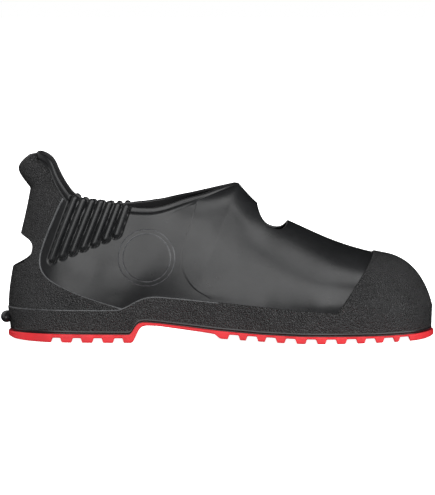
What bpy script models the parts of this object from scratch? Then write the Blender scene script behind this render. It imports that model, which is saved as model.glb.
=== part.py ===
"""Moulded work overshoe for the right foot: a hollow upper, textured toe cap and heel counter, a sidewall
with the floor and heel block, a lugged outsole, a kick-off lug at the heel and a round boss on each side.

Lengths are in millimetres until a mesh is made. X runs from heel to toe, Y to the inner (medial) side,
Z up. The origin is on the floor under the middle of the overshoe's box.
"""

import math

import bmesh
import bpy
import numpy as np

MM = 0.001

# Driving dimensions
SOLE_LENGTH = 319.6
KICK_LUG_REACH = 5.8
HEEL_X = KICK_LUG_REACH - (SOLE_LENGTH + KICK_LUG_REACH) / 2
TOE_X = HEEL_X + SOLE_LENGTH
MID_X = (HEEL_X + TOE_X) / 2
HALF_LENGTH = SOLE_LENGTH / 2
HEEL_ROUNDING = 6.5
TOE_ROUNDING = 5.5

UPPER_WALL = 2.4
GAP = 0.3
OVERLAY = 1.0
SIDEWALL_INSET = 1.0
SIDEWALL_DRAFT = 0.6
HEEL_OVERHANG = {"out": 1.4, "to_u": 0.15}
UPPER_INSET = SIDEWALL_INSET + GAP + OVERLAY + 0.1
BEAD_WIDTH = 3.5
BEAD_PROUD = 0.8

LATERAL, MEDIAL = -1.0, 1.0

# Plan of the outsole: half-widths either side of an axis that bends to the inner side at the toe
OUTLINE = {
    "x": (-156, -110, -60, -15, 30, 65, 100, 135, 162),
    "lateral": (44, 44, 44, 46.5, 54, 58, 57, 54, 52),
    "medial": (44, 44, 41, 40, 47, 53.5, 53, 52, 51),
    "axis": (0, 0, 0, 0, 1, 2, 5, 8, 9),
}

# Heights along the sole: ground side of the tread, joint of outsole and sidewall, sidewall's top edge, floor
TREAD = {
    "x": (-156, -152, -141, -124, -63, -59, -56.6, -53, -44, -2, 1.5, 20, 47, 63, 84, 130, 148, 156, 162),
    "z": (2.2, 1.2, 0.5, 0, 0, 8.7, 12.0, 13.0, 12.7, 7.1, 3.7, 2.6, 1.1, 0.4, 0, 0, 0.2, 0.8, 1.8),
}
JOINT = {
    "x": (-156, -140, -66, -64.3, -62, -59.6, -56.6, -53, -44, 0, 31, 62, 94, 121, 148, 162),
    "z": (6.5, 6.5, 6.2, 6.7, 10.9, 14.1, 15.3, 15.5, 14.8, 9.7, 7.3, 5.9, 5.4, 5.1, 5.3, 6.2),
}
SIDEWALL_TOP = {
    "x": (-156, -80, -72, -62, -52, -40, -8, 25, 62, 92, 116, 140, 162),
    "z": (24.6, 24.6, 25.4, 30.4, 34.2, 34.4, 31.4, 28.2, 24.7, 22.4, 21.6, 22.2, 24.2),
}
FLOOR = {
    "x": (-156, -40, 0, 35, 62, 110, 140, 162),
    "z": (20.5, 20.5, 15.5, 11.5, 10.2, 9.8, 10.4, 12.2),
}

# Sections of the last, one row each, from the heel seam round to the toe. Each section is a curve from the
# sidewall's top edge at foot_x up to its top point on the collar rim or on the ridge of the instep.
# heading turns the curve's upper end in plan; flare and rise shape its lower end, reach and drop its upper.
SECTION_COLUMNS = (
    "foot_x", "top_x", "top_y", "top_z", "heading", "flare", "rise", "reach", "drop",
)
COLLAR_SECTIONS = (
    (-156.9, -136.0, 0.0, 137.6, 180, 5.9, 34, -5.0, 45),
    (-151.7, -130.2, 18.0, 138.8, 150, 5.0, 34, -3.0, 45),
    (-148.8, -124.3, 22.6, 134.2, 140, 4.3, 33, -1.2, 41),
    (-145.5, -120.0, 26.2, 125.2, 130, 3.8, 32, 0.5, 38),
    (-139.5, -112.4, 31.4, 111.8, 115, 3.2, 30, 2.5, 32),
    (-135.0, -108.2, 33.8, 107.0, 108, 2.8, 29, 3.0, 30),
    (-118.0, -88.5, 37.0, 101.4, 97, 2.4, 27, 3.5, 27),
    (-100.0, -67.5, 38.0, 99.9, 92, 3.2, 26, 4.0, 25),
    (-75.0, -42.0, 37.3, 101.1, 90, 5.4, 27, 5.5, 23),
    (-56.0, -24.0, 31.0, 106.4, 90, 6.4, 29, 11.0, 16),
    (-38.0, -5.0, 19.0, 111.2, 90, 5.8, 33, 20.0, 6),
    (-18.0, 15.6, 0.0, 116.5, 90, 4.4, 38, 29.0, 0),
)
RIDGE_SECTIONS = (
    (-3.0, 30.0, 0.0, 101.2, 90, 3.4, 36, 30.5, 0),
    (21.0, 53.0, 0.0, 88.2, 90, 3.2, 32, 32.5, 0),
    (54.0, 84.5, 0.0, 74.1, 90, 3.0, 27, 34.0, 0),
    (88.0, 116.0, 0.0, 64.2, 90, 2.6, 23, 32.0, 0),
    (97.0, 123.0, 0.0, 62.8, 90, 2.4, 22, 31.0, 0),
)
TOE_SECTIONS = (
    (120.0, 123.0, 0.0, 62.8, 66, 1.2, 21, 28.5, 2.0),
    (145.0, 123.0, 0.0, 62.8, 36, -1.6, 19, 24.5, 3.0),
    (162.7, 123.0, 0.0, 62.8, 0, -4.4, 17.5, 22.5, 2.8),
)
THROAT_ROW = len(COLLAR_SECTIONS) - 1
POLE_ROW = THROAT_ROW + len(RIDGE_SECTIONS)

# How much higher than its section each side's rim runs, where it rises to the tops of the ribs
RIM_LIFT = {
    "foot_x": (-145, -141, -135, -124, -115, -104, -92, -80, -66, -52),
    "lateral": (0, 1.2, 2.2, 3.6, 4.0, 2.4, 1.0, 0.2, 0, 0),
    "medial": (0, 0, 0, -1.2, -1.5, -1.0, 0.6, 1.5, 1.0, 0),
}

# Ribs below the collar: first and last rib by foot_x, the height where each ends, and their section
RIB_COUNT = 7
RIB_FEET = (-133.6, -99.3)
RIB_ENDS = (60.6, 79.6)
RIB_PROUD = 2.6
RIB_SECTION = ((-0.37, 0.0), (-0.17, 1.0), (0.17, 1.0), (0.37, 0.0))

# Edge of the heel counter in side view, from the rim down and forward to the sidewall
COUNTER_EDGE = {
    "x": (-112.0, -115.6, -121.9, -127.5, -130.9, -131.3, -128.8, -118.1, -99.0, -70.4),
    "z": (109.5, 102.9, 89.2, 75.5, 64.5, 57.2, 51.0, 42.8, 34.5, 25.6),
}
# The pull grip is a lip across the back of the tab: its outward rise up the tab, its lower edge and half-width
GRIP_PROFILE = {"t": (0.81, 0.855, 0.895, 0.945, 1.0), "out": (0.0, 6.6, 10.3, 9.6, 2.2)}
GRIP_FOOT_Z = 113.4
GRIP_HALF_WIDTH = 16.0
TAB_CORNER_U = 0.075

CAP_FOOT_X = 89.0

# Openings cut through the walls
HEEL_SLOT = {"z": 66.6, "half_width": 24.5, "half_height": 12.0, "from_x": -175.0, "to_x": -122.0}
INSTEP_HOLE = {"x": 41.3, "half_length": 11.0, "half_width": 25.2, "from_z": 76.0, "to_z": 125.0}
OVAL_POWER = 2.7

# Round boss on each side: radius of each step of its section and its height above the upper
BOSS_CENTRE = (-52.5, 63.5)
BOSS_SECTION = {"radius": (21.4, 20.6, 18.0, 17.2, 8.0, 0.0), "proud": (0.3, 0.8, 0.8, 1.4, 1.55, 1.6)}
BOSS_SIDES = 20

# Tread grooves between the lugs: their places, and their widths at the ground and at the ceiling
GROOVE_DEPTH = 3.5
HEEL_GROOVES = {"x": (-119.8, -104.5, -88.9, -73.5), "mouth": 7.9, "ceiling": 6.0}
FORE_GROOVES = {
    "x": (12.0, 25.4, 39.4, 54.0, 69.5, 84.3, 99.4, 113.6, 127.4, 139.4), "mouth": 9.1, "ceiling": 6.8,
}
CHANNEL_WIDTH = 7.0
CHANNELS = ((-128.0, -61.0), (0.0, 144.0))

KICK_LUG = {"z": 16.0, "radius": 4.5, "half_width": 13.0}

COLOURS = {
    "smooth_black": ((0.022, 0.023, 0.025), 0.36),
    "grained_black": ((0.018, 0.018, 0.019), 0.55),
    "tread_red": ((0.80, 0.030, 0.035), 0.45),
}


def smooth_line(xs, ys, level_start=False, level_end=False):
    """Cubic spline through the rows of a table, as a function of x. Its ends are free, or level if asked."""
    xs, ys = np.asarray(xs, float), np.asarray(ys, float)
    h = np.diff(xs)
    slope = np.diff(ys) / h
    n = len(xs)
    system = np.eye(n)
    right = np.zeros(n)
    for i in range(1, n - 1):
        system[i, i - 1 : i + 2] = h[i - 1], 2 * (h[i - 1] + h[i]), h[i]
        right[i] = 6 * (slope[i] - slope[i - 1])
    if level_start:
        system[0, :2] = 2 * h[0], h[0]
        right[0] = 6 * slope[0]
    if level_end:
        system[-1, -2:] = h[-1], 2 * h[-1]
        right[-1] = -6 * slope[-1]
    bend = np.linalg.solve(system, right)

    def at(x):
        x = np.clip(np.asarray(x, float), xs[0], xs[-1])
        i = np.clip(np.searchsorted(xs, x) - 1, 0, n - 2)
        a, b = xs[i + 1] - x, x - xs[i]
        cubic = (bend[i] * a**3 + bend[i + 1] * b**3) / (6 * h[i])
        return (
            cubic
            + (ys[i] / h[i] - bend[i] * h[i] / 6) * a
            + (ys[i + 1] / h[i] - bend[i + 1] * h[i] / 6) * b
        )

    return at


def level_line(table):
    """Height along the sole, straight between the rows of its table."""
    return lambda x: np.interp(x, table["x"], table["z"])


LATERAL_WIDTH = smooth_line(OUTLINE["x"], OUTLINE["lateral"])
MEDIAL_WIDTH = smooth_line(OUTLINE["x"], OUTLINE["medial"])
AXIS = smooth_line(OUTLINE["x"], OUTLINE["axis"])
TREAD_Z = level_line(TREAD)
JOINT_Z = level_line(JOINT)
SIDEWALL_Z = smooth_line(SIDEWALL_TOP["x"], SIDEWALL_TOP["z"])
FLOOR_Z = level_line(FLOOR)


def u_at(foot_x):
    """Place round the sole, from 0 at the heel to 1 at the toe, of a station along it."""
    return np.arccos(np.clip((MID_X - np.asarray(foot_x, float)) / HALF_LENGTH, -1, 1)) / math.pi


def plan(u, side):
    """Plan of the outsole on one side: half-width times a rounding that closes the heel and the toe."""
    across = -np.cos(math.pi * u)
    x = MID_X + HALF_LENGTH * across
    power = np.where(across < 0, HEEL_ROUNDING, TOE_ROUNDING)
    rounding = np.sqrt(np.clip(1 - np.abs(across) ** power, 0, None))
    width = np.where(side < 0, LATERAL_WIDTH(x), MEDIAL_WIDTH(x))
    return x, AXIS(x) + side * width * rounding


def plan_normal(u, side):
    """Outward direction of the plan, square to it."""
    step = 1e-4
    x0, y0 = plan(np.clip(u - step, 0, 1), side)
    x1, y1 = plan(np.clip(u + step, 0, 1), side)
    nx, ny = side * -(y1 - y0), side * (x1 - x0)
    ends = (u < step) | (u > 1 - step)
    nx = np.where(ends, np.where(u < 0.5, -1.0, 1.0), nx)
    ny = np.where(ends, 0.0, ny)
    size = np.hypot(nx, ny)
    return nx / size, ny / size


def box_centre_y():
    """Middle of the sole's width, which the part is centred on."""
    u = np.linspace(0, 1, 2001)
    return (plan(u, LATERAL)[1].min() + plan(u, MEDIAL)[1].max()) / 2


CENTRE_Y = box_centre_y()


def ring(u, side, inset):
    """Plan of the sole moved inwards by inset."""
    x, y = plan(u, side)
    nx, ny = plan_normal(u, side)
    return x - nx * inset, y - ny * inset - CENTRE_Y


def heel_overhang(u):
    """How far the sidewall's top leans out at the back of the heel, eased to nothing at the heel's corners."""
    share = np.clip(1 - u / HEEL_OVERHANG["to_u"], 0, 1)
    return HEEL_OVERHANG["out"] * share * share * (3 - 2 * share)


def section_tables():
    """Each column of the section tables as a function of u. The top line is split at the throat and at the
    toe, where it turns a corner."""
    rows = np.array(COLLAR_SECTIONS + RIDGE_SECTIONS + TOE_SECTIONS, float)
    u = u_at(rows[:, 0])
    throat, pole = u[THROAT_ROW], u[POLE_ROW]
    lines = {}
    for i, name in enumerate(SECTION_COLUMNS[1:], 1):
        if name in ("top_x", "top_y", "top_z"):
            collar = smooth_line(u[: THROAT_ROW + 1], rows[: THROAT_ROW + 1, i], level_start=name != "top_y")
            ridge = smooth_line(u[THROAT_ROW : POLE_ROW + 1], rows[THROAT_ROW : POLE_ROW + 1, i])
            lines[name] = lambda v, a=collar, b=ridge: np.where(v <= throat, a(v), b(v))
        else:
            even = name != "heading"
            lines[name] = smooth_line(u, rows[:, i], level_start=even, level_end=even)
    return lines, throat, pole


SECTION, THROAT_U, POLE_U = section_tables()


def rim_lift(u, side):
    """Extra height of one side's rim at u."""
    return np.interp(u, u_at(RIM_LIFT["foot_x"]), RIM_LIFT["lateral" if side < 0 else "medial"])


def section_handles(u, side):
    """The four control points of the section curves at u."""
    foot_x, foot_y = ring(u, side, UPPER_INSET - heel_overhang(u))
    foot_z = SIDEWALL_Z(foot_x) + GAP
    top_x, top_z = SECTION["top_x"](u), SECTION["top_z"](u) + rim_lift(u, side)
    top_y = AXIS(top_x) - CENTRE_Y + side * np.where(u < THROAT_U, SECTION["top_y"](u), 0.0)
    out_x, out_y = plan_normal(u, side)
    heading = np.radians(SECTION["heading"](u))
    rise, drop = SECTION["rise"](u), SECTION["drop"](u)
    flare, reach = SECTION["flare"](u), SECTION["reach"](u)
    past = np.clip((u - POLE_U) / (0.35 * (1 - POLE_U)), 0, 1)
    rake = (top_x - foot_x) / (top_z - foot_z) * (1 - past) ** 2 * (1 + 2 * past)
    foot = np.stack([foot_x, foot_y, foot_z], -1)
    top = np.stack([top_x, top_y, top_z], -1)
    low = foot + np.stack([out_x * flare + rake * rise, out_y * flare, rise], -1)
    across = np.stack([np.cos(heading) * reach - rake * drop, side * np.sin(heading) * reach, -drop], -1)
    return foot, low, top + across, top


def surface(u, t, side):
    """Outer face of the upper: cubic section curves from t 0 at the sidewall to t 1 at the rim or ridge."""
    a, b, c, d = section_handles(u, side)
    t = np.asarray(t, float)[..., None]
    return a * (1 - t) ** 3 + 3 * b * t * (1 - t) ** 2 + 3 * c * t**2 * (1 - t) + d * t**3


def ridge_normal(u):
    """Normal on the ridge, square to the top line and shared by both sides. The toe's pole ends the ridge."""
    step = 1e-4
    u0, u1 = np.clip(u - step, THROAT_U, POLE_U - step), np.clip(u + step, THROAT_U + step, POLE_U)
    run = SECTION["top_x"](u1) - SECTION["top_x"](u0)
    fall = SECTION["top_z"](u1) - SECTION["top_z"](u0)
    return np.stack([-fall, np.zeros_like(run), run], -1)


def surface_normal(u, t, side):
    """Outward normal of the upper, from its slopes along and across the sections."""
    step = 1e-4
    u, t = np.broadcast_arrays(np.asarray(u, float), np.asarray(t, float))
    ridge = (t > 1 - 1e-6) & (u >= THROAT_U)
    t = np.clip(t, step, 1 - step)
    u0, u1 = np.clip(u - step, 0, 1), np.clip(u + step, 0, 1)
    across = surface(u1, t, side) - surface(u0, t, side)
    up = surface(u, t + step, side) - surface(u, t - step, side)
    normal = np.cross(across, up) * -side
    normal[..., 1] = np.where((u < step) | (u > 1 - step), 0.0, normal[..., 1])
    normal = np.where(ridge[..., None], ridge_normal(u), normal)
    return normal / np.linalg.norm(normal, axis=-1, keepdims=True)


def offset_surface(u, t, side, out):
    """Points at the distance out from the upper's outer face. The foot of each section keeps its height."""
    points = surface(u, t, side)
    normal = surface_normal(u, t, side)
    moved = points + normal * np.asarray(out, float)[..., None]
    moved[..., 2] = np.where(t <= 0, points[..., 2], moved[..., 2])
    return moved


def locate(x, z, side):
    """Place (u, t) on the upper whose side view is at x and z, by Newton steps from a coarse search."""
    x, z = np.asarray(x, float), np.asarray(z, float)
    u_grid, t_grid = np.meshgrid(np.linspace(0.02, 0.66, 90), np.linspace(0, 0.97, 40))
    grid = surface(u_grid, t_grid, side)
    far = np.hypot(grid[..., 0] - x[..., None, None], grid[..., 2] - z[..., None, None])
    best = far.reshape(x.shape + (-1,)).argmin(-1)
    u, t = u_grid.ravel()[best], t_grid.ravel()[best]
    step = 1e-4
    for _ in range(12):
        here = surface(u, t, side)
        du = (surface(u + step, t, side) - here) / step
        dt = (surface(u, t + step, side) - here) / step
        miss_x, miss_z = x - here[..., 0], z - here[..., 2]
        area = du[..., 0] * dt[..., 2] - dt[..., 0] * du[..., 2]
        u = u + (miss_x * dt[..., 2] - miss_z * dt[..., 0]) / area
        t = np.clip(t + (miss_z * du[..., 0] - miss_x * du[..., 2]) / area, 0, 1 - step)
    return u, t


def rib_feet():
    """Place round the sole of each rib's centre, and the spacing of the ribs at each."""
    feet = u_at(np.linspace(*RIB_FEET, RIB_COUNT))
    return feet, np.gradient(feet)


def tab_places(feet, pitch):
    """Places of the mesh columns from the heel seam to the first rib."""
    return np.linspace(0, feet[0] - 0.5 * pitch[0], 10)


def column_places(rib_shares):
    """Places round the sole of the mesh columns on one side: rounded ends, ribs, and the sole's corners."""
    feet, pitch = rib_feet()
    ribs = [foot + share * width for foot, width in zip(feet, pitch) for share in rib_shares]
    middle = u_at([-90, -82, -74, -66, -62, -57, -52, -46, -38, -28, -18, -10, -2, 1.5])
    vamp = u_at([9, 18, 27, 36, 46, 57, 68, 79, CAP_FOOT_X, 97])
    toe = np.linspace(u_at(97), 1, 11)[1:]
    places = np.concatenate([tab_places(feet, pitch), ribs, middle, vamp, toe])
    for corner in (THROAT_U, POLE_U):
        places[np.abs(places - corner).argmin()] = corner
    return places


COLUMNS = column_places([share for share, _ in RIB_SECTION])
SOLE_COLUMNS = column_places([0.0])
SECTION_ROWS = np.array([0, 0.14, 0.28, 0.42, 0.55, 0.67, 0.78, 0.88])


def bead_foot(u):
    """Share t where the rim's bead begins, so that the bead keeps its width."""
    _, _, handle, top = section_handles(u, LATERAL)
    return 1 - BEAD_WIDTH / (3 * np.linalg.norm(top - handle, axis=-1))


def new_object(name, mesh, finish, parts):
    """Puts a mesh into the part's collection under a finish."""
    obj = bpy.data.objects.new(name, mesh)
    mesh.materials.append(finish)
    parts.objects.link(obj)
    return obj


def mesh_from_faces(name, points, faces):
    """Mesh in metres from points in millimetres, with its faces pointing outwards and its seams welded."""
    bm = bmesh.new()
    corners = [bm.verts.new(p) for p in np.asarray(points) * MM]
    for face in faces:
        bm.faces.new([corners[i] for i in face])
    bmesh.ops.remove_doubles(bm, verts=bm.verts, dist=1e-7)
    bmesh.ops.recalc_face_normals(bm, faces=bm.faces)
    mesh = bpy.data.meshes.new(name)
    bm.to_mesh(mesh)
    bm.free()
    mesh.shade_smooth()
    mesh.set_sharp_from_angle(angle=math.radians(35))
    return mesh


def wall_mesh(name, outer, inner, loop):
    """Closed wall between two grids of points. Points that coincide are one, and the open edges are joined."""
    columns, rows = outer.shape[:2]
    points = np.concatenate([outer.reshape(-1, 3), inner.reshape(-1, 3)])
    _, first, same = np.unique(np.round(points, 4), axis=0, return_index=True, return_inverse=True)
    index = first[same.reshape(-1)].reshape(2, columns, rows)
    faces, edges = [], {}
    for i in range(columns if loop else columns - 1):
        j = (i + 1) % columns
        for k in range(rows - 1):
            quad = [(i, k), (j, k), (j, k + 1), (i, k + 1)]
            front = list(dict.fromkeys(index[0][c] for c in quad))
            back = list(dict.fromkeys(index[1][c] for c in quad))
            if len(front) < 3:
                continue
            faces += [front, back[::-1]]
            pairs = dict(zip(front, back))
            for a, b in zip(front, front[1:] + front[:1]):
                edges[a, b] = pairs[a], pairs[b]
    for (a, b), (inner_a, inner_b) in edges.items():
        if (b, a) not in edges:
            faces.append([b, a, inner_a, inner_b])
    used = sorted({i for face in faces for i in face})
    place = {old: new for new, old in enumerate(used)}
    return mesh_from_faces(name, points[used], [[place[i] for i in face] for face in faces])


def around(u):
    """Columns of a loop from the heel along the lateral side to the toe and back along the medial side."""
    places = np.concatenate([u, u[-2:0:-1]])
    sides = np.concatenate([np.full(len(u), LATERAL), np.full(len(u) - 2, MEDIAL)])
    return places, sides


def both_sides(function, places, sides, *values):
    """A surface function on columns that belong to different sides."""
    lateral = function(places, *(v for v in values[:1]), LATERAL, *values[1:])
    medial = function(places, *(v for v in values[:1]), MEDIAL, *values[1:])
    return np.where((sides < 0)[..., None], lateral, medial)


def rib_rise(u, t, z):
    """Height of the ribs above the wall: a flat-topped ridge at each rib, ending below at its own height."""
    feet, pitch = rib_feet()
    ends = np.linspace(*RIB_ENDS, RIB_COUNT)
    share, height = zip(*RIB_SECTION)
    rise = np.zeros(np.broadcast(u, t).shape)
    for foot, width, end in zip(feet, pitch, ends):
        across = np.interp((u - foot) / width, share, height, left=0, right=0)
        fade = np.clip((z - end) / 4.0 + 0.5, 0, 1)
        rise = np.maximum(rise, across * fade)
    return rise * RIB_PROUD


def build_upper(parts, finish, cutters):
    """Hollow upper: a wall with a beaded rim and ribs, closed over the instep and toe, open underneath."""
    u, sides = around(COLUMNS)
    shares = SECTION_ROWS
    bead = bead_foot(u)
    rows = [np.full_like(u, s) for s in shares] + [bead - 0.004, bead + 0.004, np.ones_like(u)]
    t = np.stack(rows, 1)
    u_all = np.repeat(u[:, None], t.shape[1], 1)
    side_all = np.repeat(sides[:, None], t.shape[1], 1)
    z = both_sides(surface, u_all, side_all, t)[..., 2]
    ribs = rib_rise(u_all, t, z)
    feet, pitch = rib_feet()
    first, last = feet[0] - 0.4 * pitch[0], feet[-1] + 0.4 * pitch[-1]
    beaded = ((u_all > TAB_CORNER_U) & (u_all < first)) | (u_all > last)
    beaded &= (u_all < THROAT_U - 1e-6) & (t > bead[:, None])
    proud = np.maximum(ribs, np.where(beaded, BEAD_PROUD, 0.0))
    outer = both_sides(offset_surface, u_all, side_all, t, proud)
    inner = both_sides(offset_surface, u_all, side_all, t, np.full_like(t, -UPPER_WALL))
    obj = new_object("upper", wall_mesh("upper", outer, inner, loop=True), finish, parts)
    for cutter in cutters:
        cut(obj, cutter)


def build_toe_cap(parts, finish):
    """Toe cap: the front of the upper's own surface, between two offsets of it."""
    u = COLUMNS[COLUMNS > u_at(CAP_FOOT_X) - 1e-6]
    places = np.concatenate([u, u[-2::-1]])
    sides = np.concatenate([np.full(len(u), LATERAL), np.full(len(u) - 1, MEDIAL)])
    t = np.repeat(np.array([[*SECTION_ROWS, 1.0]]), len(places), 0)
    u_all = np.repeat(places[:, None], t.shape[1], 1)
    side_all = np.repeat(sides[:, None], t.shape[1], 1)
    outer = both_sides(offset_surface, u_all, side_all, t, np.full_like(t, GAP + OVERLAY))
    inner = both_sides(offset_surface, u_all, side_all, t, np.full_like(t, GAP))
    new_object("toe_cap", wall_mesh("toe_cap", outer, inner, loop=False), finish, parts)


def build_heel_counter(parts, finish, outline, slot, grip_space):
    """Heel counter: the back of the upper's own surface between two offsets of it, kept inside its side view
    and cut for the slot and for the pull grip."""
    feet, pitch = rib_feet()
    u = np.concatenate([tab_places(feet, pitch), feet, u_at([-92, -84, -76, -66])])
    places = np.concatenate([u[::-1], u[1:]])
    sides = np.concatenate([np.full(len(u), LATERAL), np.full(len(u) - 1, MEDIAL)])
    u_all = np.repeat(places[:, None], len(SECTION_ROWS) + 1, 1)
    side_all = np.repeat(sides[:, None], len(SECTION_ROWS) + 1, 1)
    under_bead = bead_foot(u_all) - 0.012
    t = np.minimum(np.append(SECTION_ROWS, 1.0), under_bead)
    outer = both_sides(offset_surface, u_all, side_all, t, np.full_like(t, GAP + OVERLAY))
    inner = both_sides(offset_surface, u_all, side_all, t, np.full_like(t, GAP))
    obj = new_object("heel_counter", wall_mesh("heel_counter", outer, inner, loop=False), finish, parts)
    cut(obj, outline, "INTERSECT")
    cut(obj, slot)
    cut(obj, grip_space)


def build_pull_grip(parts, finish, grip_outline):
    """Pull grip: a thick lip over the top of the tab, between the upper's surface and a rise from it."""
    u = np.linspace(0, 1.25 * TAB_CORNER_U, 6)
    places = np.concatenate([u[::-1], u[1:]])
    sides = np.concatenate([np.full(len(u), LATERAL), np.full(len(u) - 1, MEDIAL)])
    shares = np.concatenate([[0.70, 0.76], GRIP_PROFILE["t"]])
    t = np.repeat(shares[None, :], len(places), 0)
    u_all = np.repeat(places[:, None], len(shares), 1)
    side_all = np.repeat(sides[:, None], len(shares), 1)
    rise = np.interp(t, GRIP_PROFILE["t"], GRIP_PROFILE["out"], left=0)
    outer = both_sides(offset_surface, u_all, side_all, t, GAP + OVERLAY + rise)
    inner = both_sides(offset_surface, u_all, side_all, t, np.full_like(t, GAP))
    obj = new_object("pull_grip", wall_mesh("pull_grip", outer, inner, loop=False), finish, parts)
    cut(obj, grip_outline, "INTERSECT")


def grip_cutter(name, cutters, clearance):
    """Bar along X whose back view is the pull grip's, larger by a clearance."""
    wide, low = GRIP_HALF_WIDTH + clearance, GRIP_FOOT_Z - clearance
    view = ((-wide, low), (wide, low), (wide, 170.0), (-wide, 170.0))
    near, far = ([(x, y - CENTRE_Y, z) for y, z in view] for x in (-180.0, -120.0))
    return bar_cutter(name, cutters, near, far)


def counter_outline(cutters):
    """Bar across the shoe whose side view is the heel counter's."""
    x, z = np.array(COUNTER_EDGE["x"]), np.array(COUNTER_EDGE["z"])
    along = np.concatenate([[0], np.cumsum(np.hypot(np.diff(x), np.diff(z)))])
    fine = np.linspace(0, along[-1], 26)
    edge = list(zip(smooth_line(along, x)(fine), smooth_line(along, z)(fine)))
    view = [(-104.0, 114.0)] + edge + [(-60.0, 21.0), (-190.0, 21.0), (-190.0, 160.0), (-104.0, 160.0)]
    near, far = ([(px, y, pz) for px, pz in view] for y in (-80.0, 80.0))
    return bar_cutter("counter_outline", cutters, near, far)


def build_boss(parts, finish, name, side):
    """Round raised boss with a stepped edge and a slight dome, following the side of the upper."""
    angle = np.linspace(0, 2 * math.pi, BOSS_SIDES, endpoint=False)
    radius, proud = np.array(BOSS_SECTION["radius"]), np.array(BOSS_SECTION["proud"])
    x = BOSS_CENTRE[0] + np.cos(angle)[:, None] * radius
    z = BOSS_CENTRE[1] + np.sin(angle)[:, None] * radius
    u, t = locate(x, z, side)
    outer = offset_surface(u, t, side, GAP + np.broadcast_to(proud, u.shape))
    inner = offset_surface(u, t, side, np.full(u.shape, GAP))
    outer[:, -1], inner[:, -1] = outer[0, -1], inner[0, -1]
    new_object(name, wall_mesh(name, outer, inner, loop=True), finish, parts)


def sole_solid(name, levels):
    """Solid of the sole's plan: a stack of rings, closed across at both ends. Each ring has an inset, its share
    of the lean at the heel and a height line."""
    u, sides = around(SOLE_COLUMNS)
    rings = []
    for inset, lean, height in levels:
        moved = inset - lean * heel_overhang(u)
        lateral = ring(u, LATERAL, moved)
        medial = ring(u, MEDIAL, moved)
        x = np.where(sides < 0, lateral[0], medial[0])
        y = np.where(sides < 0, lateral[1], medial[1])
        station, _ = plan(u, LATERAL)
        rings.append(np.stack([x, y, height(station)], -1))
    count = len(u)
    faces = []
    for level in range(len(rings) - 1):
        base, above = level * count, (level + 1) * count
        for i in range(count):
            j = (i + 1) % count
            faces.append([base + i, base + j, above + j, above + i])
    last = len(SOLE_COLUMNS) - 1
    for base in (0, (len(rings) - 1) * count):
        for i in range(last):
            near = [base + i, base + i + 1]
            far = [base + (count - i - 1) % count, base + (count - i) % count]
            faces.append(list(dict.fromkeys(near + far)))
    return mesh_from_faces(name, np.concatenate(rings), faces)


def build_sidewall(parts, finish):
    """Sidewall with the heel block and floor: a shallow bowl whose top edge carries the upper."""
    ledge = UPPER_INSET + UPPER_WALL
    levels = (
        (SIDEWALL_INSET + SIDEWALL_DRAFT, 0, JOINT_Z),
        (SIDEWALL_INSET, 1, SIDEWALL_Z),
        (ledge, 1, SIDEWALL_Z),
        (ledge + 1.0, 1, FLOOR_Z),
    )
    new_object("sidewall", sole_solid("sidewall", levels), finish, parts)


def build_outsole(parts, finish, grooves, channels):
    """Outsole: a full-depth slab with its lugs left standing between grooves."""
    levels = (
        (0.6, 0, TREAD_Z),
        (0.0, 0, lambda x: (TREAD_Z(x) + JOINT_Z(x)) / 2),
        (0.0, 0, lambda x: JOINT_Z(x) - GAP),
    )
    obj = new_object("outsole", sole_solid("outsole", levels), finish, parts)
    cut(obj, grooves)
    cut(obj, channels)


def build_kick_lug(parts, finish, heel):
    """Kick-off lug: a rounded bar across the back of the heel, seated on its curve."""
    bm = bmesh.new()
    bmesh.ops.create_uvsphere(bm, u_segments=16, v_segments=10, radius=1.0)
    size = np.array([KICK_LUG["radius"], KICK_LUG["half_width"], KICK_LUG["radius"]]) * MM
    bmesh.ops.scale(bm, vec=size, verts=bm.verts)
    place = (HEEL_X - KICK_LUG_REACH + KICK_LUG["radius"], -CENTRE_Y, KICK_LUG["z"])
    bmesh.ops.translate(bm, vec=np.array(place) * MM, verts=bm.verts)
    mesh = bpy.data.meshes.new("kick_off_lug")
    bm.to_mesh(mesh)
    bm.free()
    mesh.shade_smooth()
    cut(new_object("kick_off_lug", mesh, finish, parts), heel)


def new_cutter(name, mesh, cutters):
    """A shape that is only cut away."""
    obj = bpy.data.objects.new(name, mesh)
    obj.hide_render = True
    obj.display_type = "WIRE"
    cutters.objects.link(obj)
    return obj


def cut(obj, cutter, operation="DIFFERENCE"):
    """Takes a cutter's shape out of an object, or keeps only what is inside it."""
    modifier = obj.modifiers.new("cut " + cutter.name, "BOOLEAN")
    modifier.operation = operation
    modifier.object = cutter


def bar_cutter(name, cutters, near, far):
    """Bar between two outlines with the same number of points."""
    count = len(near)
    faces = [[i, (i + 1) % count, count + (i + 1) % count, count + i] for i in range(count)]
    faces += [list(range(count))[::-1], list(range(count, 2 * count))]
    return new_cutter(name, mesh_from_faces(name, list(near) + list(far), faces), cutters)


def oval(half_a, half_b):
    """Points round an oval a little squarer than an ellipse."""
    angle = np.linspace(0, 2 * math.pi, 28, endpoint=False)
    c, s = np.cos(angle), np.sin(angle)
    return half_a * np.sign(c) * np.abs(c) ** (2 / OVAL_POWER), half_b * np.sign(s) * np.abs(s) ** (2 / OVAL_POWER)


def heel_slot_cutter(cutters):
    """Oval bar along X for the slot at the back of the heel."""
    y, z = oval(HEEL_SLOT["half_width"], HEEL_SLOT["half_height"])
    y, z = y - CENTRE_Y, z + HEEL_SLOT["z"]
    near, far = (np.stack([np.full_like(y, x), y, z], -1) for x in (HEEL_SLOT["from_x"], HEEL_SLOT["to_x"]))
    return bar_cutter("heel_slot", cutters, near, far)


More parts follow.
